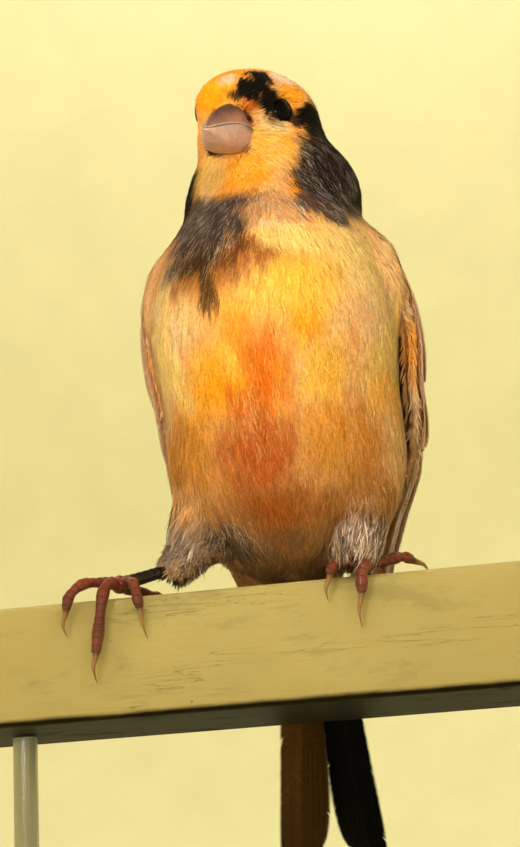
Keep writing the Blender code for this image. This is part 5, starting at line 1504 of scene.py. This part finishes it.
def make_tufts():
    """Long loose feathers from each thigh's sleeve, down over the top of the foot."""
    random = np.random.default_rng(SEED + 9)
    for side, path in SLEEVES.items():
        count = TUFT_COUNT
        t = random.uniform(TUFT_START[side], 1.0, count)
        start, end = np.array(path[1]), np.array(path[3])
        axis = unit(end - start)
        first = unit(np.cross(axis, (1.0, 0.0, 0.0)))
        second = np.cross(axis, first)
        turn = random.uniform(0.0, 2 * math.pi, count)[:, None]
        outward = np.cos(turn) * first + np.sin(turn) * second
        roots = laid_on(body, start + (end - start) * t[:, None] + outward * 4.0, -0.7)
        tips = np.array(TUFT_TIPS[side]) + random.normal(0.0, 1.0, (count, 3)) * TUFT_SPREAD[side]
        tips = tips + outward * (0.9, 0.9, 0.0)
        share = np.linspace(0.0, 1.0, 7)[None, :, None]
        bow = outward[:, None] * np.sin(math.pi * share) * TUFT_BOW[side]
        line = roots[:, None] + (tips - roots)[:, None] * share + bow
        along = units(np.gradient(line, axis=1))
        outs = units(outward[:, None] - along * (along * outward[:, None]).sum(axis=-1, keepdims=True))
        length = np.linalg.norm(tips - roots, axis=1)
        places = np.stack([random.uniform(0.02, 0.98, count) for _ in range(2)], axis=-1)
        soft_feathers(
            f"coat_tuft_{side}", "plumage", random, line, np.cross(along, outs), outs, length, 9, 4,
            tuft_colour, places, spread=0.12, barb_width=0.2,
        )


def tuft_colour(points, streak):
    """Smoky pink strands with pale and slate ones among them, warmer on the bird's left."""
    share = streak * 0.8 + noise(points, 1.6, 81) * 0.5
    pale = PLUMAGE["cream"] * 0.3 + PLUMAGE["pink_white"] * 0.7
    colour = blend(PLUMAGE["smoke"], PLUMAGE["tan"], (points[:, 0] > 0.0) * 0.1)
    colour = blend(colour, PLUMAGE["down_grey"], ease(-share, 0.0, 0.8) * 0.9)
    colour = blend(colour, pale, ease(share, 0.0, 0.9) * 0.75)
    colour = blend(colour, PLUMAGE["buff"], ease(noise(points, 3.0, 82), 0.0, 0.8) * 0.2)
    return blend(colour, plumage(points, streak), ease(points[:, 2], 64.5, 71.5))


# Bill, eyes, feet and claws.
HORN = tinted_finish(
    "bill_horn", 0.6, 0.012, roughness=0.38, specular_ior_level=0.35, subsurface_weight=0.1,
    subsurface_scale=0.001, coat_weight=0.05, coat_roughness=0.25,
)
CLAW = tinted_finish(
    "claw_horn", 0.4, 0.015, roughness=0.3, specular_ior_level=0.5, subsurface_weight=0.2,
    subsurface_scale=0.0008,
)
SCALE_SKIN = tinted_finish("leg_skin", 0.3, 0.05, roughness=0.36, specular_ior_level=0.45)
NOSTRIL, NOSTRIL_REACH, NOSTRIL_DEPTH = (1.75, 6.6, -0.1), (0.7, 0.85, 0.6), 0.42
BILL_FLUSH = ((-1.8, 10.6, -5.8), (0.8, 1.3, 0.5))
BILL_ARC, BILL_FLAT, BILL_COUNT = 56, 12, 72


def gape_at(share):
    """The height of the line of the mouth along the bill: an arch that dips at corner and tip."""
    arch = np.sin(math.pi * np.clip(share, 0.0, 1.0) ** 0.8)
    return GAPE_UP + (TIP_UP - GAPE_UP) * share + GAPE_ARCH * arch


def bill_rings(upper):
    """Rings across one half of the bill, from root to tip, in the head's directions."""
    rings = []
    round_in, round_up = (1.25, 1.2) if upper else (0.45, 0.52)
    turn = np.linspace(0.0, math.pi, BILL_ARC)
    for share in np.linspace(0.0, 1.0, BILL_COUNT) ** 0.9:
        forward = BILL_ROOT + (BILL_TIP - BILL_ROOT) * share
        cut = gape_at(share)
        width = BILL_HALF_WIDTH * (1.0 - share ** (1.5 if upper else 2.8)) + 0.3
        swell = 1.0 - share ** (1.35 if upper else 3.4)
        end = cut + (0.42 if upper else -0.3)
        outer = end + ((CULMEN_UP if upper else CHIN_UP) - end) * swell
        inner = cut + (0.05 if upper else -0.05)
        left = width * np.sign(np.cos(turn)) * abs(np.cos(turn)) ** round_in
        up = inner + (outer - inner) * np.sin(turn) ** round_up
        base = -width + 2 * width * np.arange(1, BILL_FLAT) / BILL_FLAT
        left, up = np.append(left, base), np.append(up, np.full(BILL_FLAT - 1, inner))
        left = left + BILL_SHIFT * (1.0 - 0.7 * share)
        rings.append(np.stack((left, np.full(len(left), forward), up), axis=-1))
    return np.array(rings)


def make_bill():
    """Two halves of horn: darker over the ridge, with a pale cutting edge and a hollow at each nostril;
    painted shade darkens the mouth line and the nostrils.
    """
    for name, upper in (("bill_upper", True), ("bill_lower", False)):
        local = bill_rings(upper)
        points, faces = closed_tube(local)
        normals = vertex_normals(points, faces)
        reach = np.clip((points[:, 1] - BILL_ROOT) / (BILL_TIP - BILL_ROOT), 0.0, 1.0)
        height = abs(points[:, 2] - gape_at(reach))
        growth = 0.018 * np.sin(reach * 38.0 + noise(points, 1.5, 51) * 1.6) + 0.02 * noise(points, 0.8, 52)
        points = points + normals * growth[:, None] * (height > 0.3)[:, None]
        tint = np.tile(TONES[name], (len(points), 1))
        veil = noise(points, 1.8, 53)
        if upper:
            dark = ease(height + veil * 0.5 + 0.25 * (points[:, 1] - 8.0), 0.9, 3.0)
            tint = blend(tint, TONES["bill_ash"], dark * 0.9)
        else:
            tint = blend(tint, TONES["bill_flush"], reach_of(points, *BILL_FLUSH) * 0.7)
            tint = tint * (1.0 - 0.18 * ease(height, 2.0, 4.0))[:, None]
        tint = blend(tint, TONES["bill_edge"], (1.0 - ease(height, 0.20, 0.42)) * 0.55)
        fold = (1.0 - ease(reach, 0.06, 0.16)) * (1.0 - ease(height, 0.6, 1.6)) * 0.6
        tint = blend(tint, TONES["bill_fold"], fold)
        # Painted shade: the line where the halves meet is darkened, by up to 95% at the corner of the
        # mouth.
        seam = (1.0 - ease(height, 0.06, 0.16)) * (0.4 + 0.55 * (1.0 - ease(reach, 0.2, 0.45)))
        tint = tint * (1.0 - seam)[:, None]
        tint = tint * (1.0 + 0.06 * veil)[:, None]
        if upper:
            for way in (1.0, -1.0):
                hole = np.array(NOSTRIL) * (way, 1.0, 1.0)
                near = 1.0 - ease(np.linalg.norm((points - hole) / NOSTRIL_REACH, axis=1), 0.35, 1.0)
                points = points - normals * (near * NOSTRIL_DEPTH)[:, None]
                # Painted shade: each nostril's hollow is painted up to 85% darker.
                tint = tint * (1.0 - 0.85 * near)[:, None]
        made = mesh_piece(name + "_horn", HEAD_CENTRE + points @ HEAD_AXES, faces, HORN, tint)
        on_root(made, "bill_horn", name)


def bristle_tree():
    """Thin cones on points: each stands along its point's own way, with its length varied by chance."""
    tree = bpy.data.node_groups.new("bristles", "GeometryNodeTree")
    tree.interface.new_socket("Geometry", in_out="INPUT", socket_type="NodeSocketGeometry")
    inputs = {"Length": "Float", "Thickness": "Float", "Seed": "Int", "Material": "Material"}
    for name, kind in inputs.items():
        tree.interface.new_socket(name, in_out="INPUT", socket_type="NodeSocket" + kind)
    tree.interface.new_socket("Geometry", in_out="OUTPUT", socket_type="NodeSocketGeometry")
    given = tree.nodes.new("NodeGroupInput").outputs
    cone = node(tree, "GeometryNodeMeshCone", {
        "Vertices": 5, "Side Segments": 2, "Radius Top": 0.12, "Radius Bottom": 1.0, "Depth": 1.0,
    })
    way = node(tree, "GeometryNodeInputNamedAttribute", {"Name": "way"}, data_type="FLOAT_VECTOR")
    turn = node(tree, "FunctionNodeAlignRotationToVector", {"Vector": way.outputs["Attribute"]}, axis="Z")
    range_inputs = {2: 0.55, 3: 1.3, "Seed": given["Seed"]}
    chance = node(tree, "FunctionNodeRandomValue", range_inputs, data_type="FLOAT")
    reach = maths(tree, "MULTIPLY", chance.outputs[1], given["Length"])
    size = node(tree, "ShaderNodeCombineXYZ", {0: given["Thickness"], 1: given["Thickness"], 2: reach})
    placed = node(tree, "GeometryNodeInstanceOnPoints", {
        "Points": given["Geometry"], "Instance": cone.outputs["Mesh"],
        "Rotation": turn.outputs["Rotation"], "Scale": size.outputs[0],
    })
    whole = node(tree, "GeometryNodeRealizeInstances", {"Geometry": placed.outputs["Instances"]})
    dressed = node(tree, "GeometryNodeSetMaterial", {
        "Geometry": whole.outputs["Geometry"], "Material": given["Material"],
    })
    tree.links.new(dressed.outputs["Geometry"], tree.nodes.new("NodeGroupOutput").inputs["Geometry"])
    return tree


def bristle_finish():
    """Dark red-brown hair, paler here and there."""
    made, tree, shader = new_finish("bristle", roughness=0.5, specular_ior_level=0.3)
    lumps = noise_value(tree, object_place(tree), 0.8)
    tone = mixed(tree, between(tree, lumps, 0.35, 0.7), TONES["bristle_dark"], TONES["bristle_pale"])
    tree.links.new(tone, shader.inputs["Base Color"])
    bump(tree, shader, lumps, 0.01)
    return made


def make_bristles():
    """Short bristles round the root of the bill: under the chin and at its sides, not on the ridge."""
    random = np.random.default_rng(SEED + 11)
    local, out = [], []
    count, last = BRISTLE_COUNT // 2, BILL_ARC - 1.0
    low, high = BRISTLE_ARC
    for upper in (False, True):
        rings = bill_rings(upper)[:, :BILL_ARC]
        ring = random.integers(5, 11, count)
        place = (low + (high - low) * random.uniform(0.0, 1.0, count)) * last
        if upper:
            place = np.where(abs(place - last / 2) < 5.0, place * 0.3, place)
        spot = rings[ring, place.astype(int)]
        local.append(spot)
        out.append(units(spot - rings[ring].mean(axis=1)))
    local, out = np.concatenate(local), np.concatenate(out)
    turn = np.arctan2(out[:, 2], out[:, 0])
    ways = units(out * (0.25, 1.0, 0.25) + (0.0, 1.0, 0.0) + random.normal(0.0, 0.2, local.shape))
    mesh = bpy.data.meshes.new("bristle_roots")
    mesh.from_pydata(((HEAD_CENTRE + local @ HEAD_AXES) * 0.001).tolist(), [], [])
    own_ways = mesh.attributes.new("way", "FLOAT_VECTOR", "POINT")
    own_ways.data.foreach_set("vector", (ways @ HEAD_AXES).ravel())
    roots = in_scene("bristle_roots", mesh)
    finish, tree = bristle_finish(), bristle_tree()
    modifier = roots.modifiers.new("bristles", "NODES")
    modifier.node_group = tree
    values = {
        "Length": BRISTLE_LENGTH * 0.001, "Thickness": BRISTLE_THICKNESS * 0.001,
        "Seed": SEED, "Material": finish,
    }
    for socket in tree.interface.items_tree:
        if socket.in_out == "INPUT" and socket.name in values:
            modifier[socket.identifier] = values[socket.name]
    grown = evaluated(roots)
    corners = np.zeros(len(grown.loops), np.int32)
    grown.loops.foreach_get("vertex_index", corners)
    each = len(grown.vertices) // BRISTLE_COUNT
    which, part = corners // each, corners % each / each
    u = (turn[which] / (2 * math.pi)) % 1.0 * 0.98 + 0.01 + BAKE_PATCH * (part - 0.5)
    v = 0.02 + which / BRISTLE_COUNT * 0.96 + BAKE_PATCH * ((part * 7.0) % 1.0 - 0.5)
    for layer in list(grown.uv_layers):
        grown.uv_layers.remove(layer)
    places = np.stack((u, v), axis=-1).astype(np.float32)
    grown.uv_layers.new(name="OFBake").data.foreach_set("uv", places.ravel())
    on_root(in_scene("bristles", grown), "plumage")


def eye_finish():
    """A wet, near black ball, a shade browner in faint lumps."""
    made, tree, shader = new_finish("eye", roughness=0.03, specular_ior_level=0.06)
    lumps = noise_value(tree, object_place(tree), 0.4)
    tree.links.new(mixed(tree, lumps, EYE_DARK, EYE_BROWN), shader.inputs["Base Color"])
    return made


def make_eyes():
    finish = eye_finish()
    for side, (seat, look) in EYES.items():
        centre = seat - look * EYE_DEPTH
        first = unit(np.cross(look, (0.31, 0.57, 0.76)))
        second = np.cross(look, first)
        turn = turns(64)[:, None]
        rings = []
        for lift in np.linspace(-math.pi / 2, math.pi / 2, 42)[1:-1]:
            flat = EYE_RADIUS * math.cos(lift)
            bulge = 1.0 + 0.035 * max(0.0, math.sin(lift)) ** 3
            rings.append(
                centre + flat * (np.cos(turn) * first + np.sin(turn) * second)
                + look * EYE_RADIUS * bulge * math.sin(lift)
            )
        points, faces = closed_tube(rings)
        made = mesh_piece(f"eye_ball_{side}", points, faces, finish)
        on_root(made, "eye", f"eye_{side}")


def off_rail(points):
    """The way out of the rail at places near its top and front."""
    low = np.array((-RAIL_SIZE[0] / 2, -RAIL_SIZE[1] / 2 + 1.5, RAIL_TOP - RAIL_SIZE[2]))
    high = np.array((RAIL_SIZE[0] / 2, RAIL_SIZE[1] / 2 - 1.5, RAIL_TOP - 1.5))
    return units(points - np.clip(points, low, high))


def leg_line(side):
    """The shank from the sleeve to the palm."""
    sleeve, palm = SLEEVES[side], np.array(LEGS[side]["palm"])
    start = np.array(sleeve[-1])
    toward = unit(palm - start)
    return np.linspace(start - toward * 1.6, palm - toward * 0.4, 16), toward


def foot_lines(side):
    """The lines and radii of the shank and of each toe, and the way down the shank."""
    palm = np.array(LEGS[side]["palm"])
    shank, toward = leg_line(side)
    lines = {"shank": (shank, SHANK_RADIUS * (1.0 + 0.22 * np.linspace(-1.0, 1.0, 16) ** 2))}
    shares = np.linspace(0.0, 1.0, 28)
    swell = 0.88 + 0.22 * np.sin(shares * 3.0 * math.pi) ** 2 - 0.12 * shares
    for toe, radius in TOE_RADIUS.items():
        lines[toe] = (curve_through((palm, *LEGS[side][toe]), 28), radius * swell)
    return palm, lines, toward


def nearest_line(points, lines):
    """For places on a foot: how far along the nearest line they lie, which one it is, and its back."""
    best, along, which = np.full(len(points), 1e9), np.zeros(len(points)), np.zeros(len(points), int)
    back = np.zeros((len(points), 3))
    for index, (name, (path, radii)) in enumerate(lines.items()):
        gap = np.linalg.norm(points[:, None] - path[None], axis=-1)
        near = gap.argmin(axis=1)
        depth = gap[np.arange(len(points)), near] - radii[near]
        closer = depth < best
        way = np.gradient(path, axis=0)[near]
        offset = ((points - path[near]) * units(way)).sum(axis=1)
        best = np.where(closer, depth, best)
        along = np.where(closer, run_along(path)[near] + offset, along)
        which = np.where(closer, index, which)
        front = off_rail(points) if name != "shank" else np.tile((0.0, -0.8, 0.6), (len(points), 1))
        back = np.where(closer[:, None], front, back)
    return along, which, back


def make_claws(side, lines):
    for toe, radius in TOE_RADIUS.items():
        hook = curve_through((lines[toe][0][-2], *LEGS[side][f"{toe}_claw"]), 26)
        share = np.linspace(0.0, 1.0, 26)
        radii = radius * 0.78 * (1.0 - share**1.5 * 0.95)
        points, faces = closed_tube(sweep_rings(hook, radii, 16, 0.8))
        along = np.clip(np.append(np.repeat(share, 16), (0.0, 1.0)), 0.0, 1.0)
        tint = blend(TONES["claw_root"], TONES["claw_tip"], ease(along, 0.0, 0.55))
        made = mesh_piece(f"claw_horn_{toe}_{side}", points, faces, CLAW, tint)
        on_root(made, "claw_horn", f"claw_{toe}_{side}")


def make_foot(side):
    """One scaly skin over shank, palm and toes, with plates along the upper side, and four claws."""
    palm, lines, toward = foot_lines(side)
    parts = [closed_tube(sweep_rings(path, radii, 20)) for path, radii in lines.values()]
    turn = np.linspace(-math.pi / 2, math.pi / 2, 16)[1:-1]
    middles = [palm + toward * PALM_RADIUS * math.sin(angle) for angle in turn]
    parts.append(closed_tube(sweep_rings(middles, PALM_RADIUS * np.cos(turn), 20)))
    points, faces = fused(f"foot_{side}", parts, 0.17)
    normals = vertex_normals(points, faces)
    along, which, back = nearest_line(points, lines)
    upper = ease((normals * back).sum(axis=1), 0.15, 0.6)
    phase = (along / SCUTE_PITCH) % 1.0
    plate = (1.0 - phase) ** 0.8 * ease(phase, 0.0, 0.12)
    pebble = 0.5 + 0.5 * noise(points, 0.42, 61)
    relief = SCUTE_RISE * plate * upper + 0.07 * pebble * (1.0 - upper)
    points = points + normals * (relief - 0.05)[:, None]
    seam = upper * (1.0 - ease(phase, 0.02, 0.2)) + (1.0 - upper) * (1.0 - ease(pebble, 0.15, 0.5)) * 0.7
    blotch = 0.5 + 0.5 * noise(points, 2.4, 62)
    tint = blend(TONES["toe_red"], TONES["toe_dark"], blotch * 0.8)
    tint = blend(tint, TONES["shank_dark"], (which == 0) * ease(along, 12.0, 7.5))
    # Dark seams between the plates; on the upper side each plate is also painted up to a quarter lighter
    # towards its end, a painted highlight.
    tint = tint * (1.0 - 0.72 * seam)[:, None] * (1.0 + 0.25 * upper * ease(phase, 0.5, 0.95))[:, None]
    made = mesh_piece(f"foot_skin_{side}", points, faces, SCALE_SKIN, np.clip(tint, 0.0, 1.0))
    on_root(made, "leg_scales", f"foot_{side}", f"tarsus_{side}")
    make_claws(side, lines)


# Rail and stand.
def rail_finish():
    """Old pale yellow paint, cracked along the grain, scuffed grey-green and pricked with pin holes, with
    painted shade on its underside.
    """
    made, tree, shader = new_finish("painted_wood", specular_ior_level=0.03)
    plain, drawn = object_place(tree), object_place(tree, (0.05, 1.0, 1.0))
    paint = mixed(tree, noise_value(tree, plain, 14.0, 4.0), TONES["paint_low"], TONES["paint_high"])
    smeared = object_place(tree, (0.35, 1.0, 1.0))
    scuff = between(tree, noise_value(tree, smeared, 5.0, 6.0, 0.7), 0.52, 0.72)
    paint = mixed(tree, maths(tree, "MULTIPLY", scuff, 0.45), paint, TONES["scuff"])
    crack_lines = noise_value(tree, drawn, 1.0, 4.0, 0.6)
    middle = maths(tree, "ABSOLUTE", maths(tree, "SUBTRACT", crack_lines, 0.5))
    patches = object_place(tree, (0.2, 1.0, 1.0), (7.0, 3.0, 1.0))
    where = between(tree, noise_value(tree, patches, 6.0), 0.50, 0.66)
    crack = maths(tree, "MULTIPLY", between(tree, middle, 0.0, 0.006, 0.4, 0.0), where)
    pricks = node(tree, "ShaderNodeTexVoronoi", {"Vector": plain, "Scale": 1.0 / 4.5, "Randomness": 1.0})
    prick = between(tree, pricks.outputs["Distance"], 0.0, 0.07, 1.0, 0.0)
    rare = node(tree, "ShaderNodeSeparateColor", {0: pricks.outputs["Color"]}).outputs[0]
    prick = maths(tree, "MULTIPLY", prick, between(tree, rare, 0.62, 0.64))
    marks = maths(tree, "MAXIMUM", crack, prick)
    colour = mixed(tree, maths(tree, "MULTIPLY", marks, 0.8), paint, TONES["crack"])
    height = node(tree, "ShaderNodeSeparateXYZ", {0: plain}).outputs["Z"]
    # Painted shade: the rail's underside is painted near black, as if in shadow, with a noisy edge.
    shade_edge_noise = noise_value(tree, object_place(tree, (0.3, 1.0, 1.0)), 3.0, 4.0)
    low = RAIL_TOP - RAIL_SIZE[2]
    under = between(tree, maths(tree, "ADD", height, shade_edge_noise), low + 0.9, low + 1.7, 0.97, 0.0)
    colour = mixed(tree, under, colour, TONES["underside"])
    tree.links.new(colour, shader.inputs["Base Color"])
    tree.links.new(between(tree, scuff, 0.0, 1.0, 0.48, 0.72), shader.inputs["Roughness"])
    brush = noise_value(tree, object_place(tree, (0.05, 1.0, 1.0)), 0.5, 3.0)
    height = maths(tree, "SUBTRACT", maths(tree, "MULTIPLY", brush, 0.35), marks)
    bump(tree, shader, height, 0.14)
    return made


def metal_finish():
    """Satin grey metal, brushed lightly."""
    made, tree, shader = new_finish("stand_metal", metallic=1.0, base_color=(0.52, 0.52, 0.50, 1.0))
    brushed = noise_value(tree, object_place(tree, (0.03, 1.0, 1.0)), 0.25, 2.0)
    tree.links.new(between(tree, brushed, 0.2, 0.8, 0.32, 0.48), shader.inputs["Roughness"])
    bump(tree, shader, brushed, 0.006)
    return made


def dress_stand():
    metal, paint = metal_finish(), rail_finish()
    for name in ("stand_base", "stand_rod_left", "stand_rod_right", "perch_rail"):
        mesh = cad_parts[name].data
        mesh.materials.clear()
        mesh.materials.append(paint if name == "perch_rail" else metal)


place_camera()
make_stage()
light_stage()
show_skin()
make_coat()
make_wing("wing_left", 1)
make_wing("wing_right", -1)
make_tail()
make_tufts()
make_bill()
make_bristles()
make_eyes()
make_foot("left")
make_foot("right")
dress_stand()
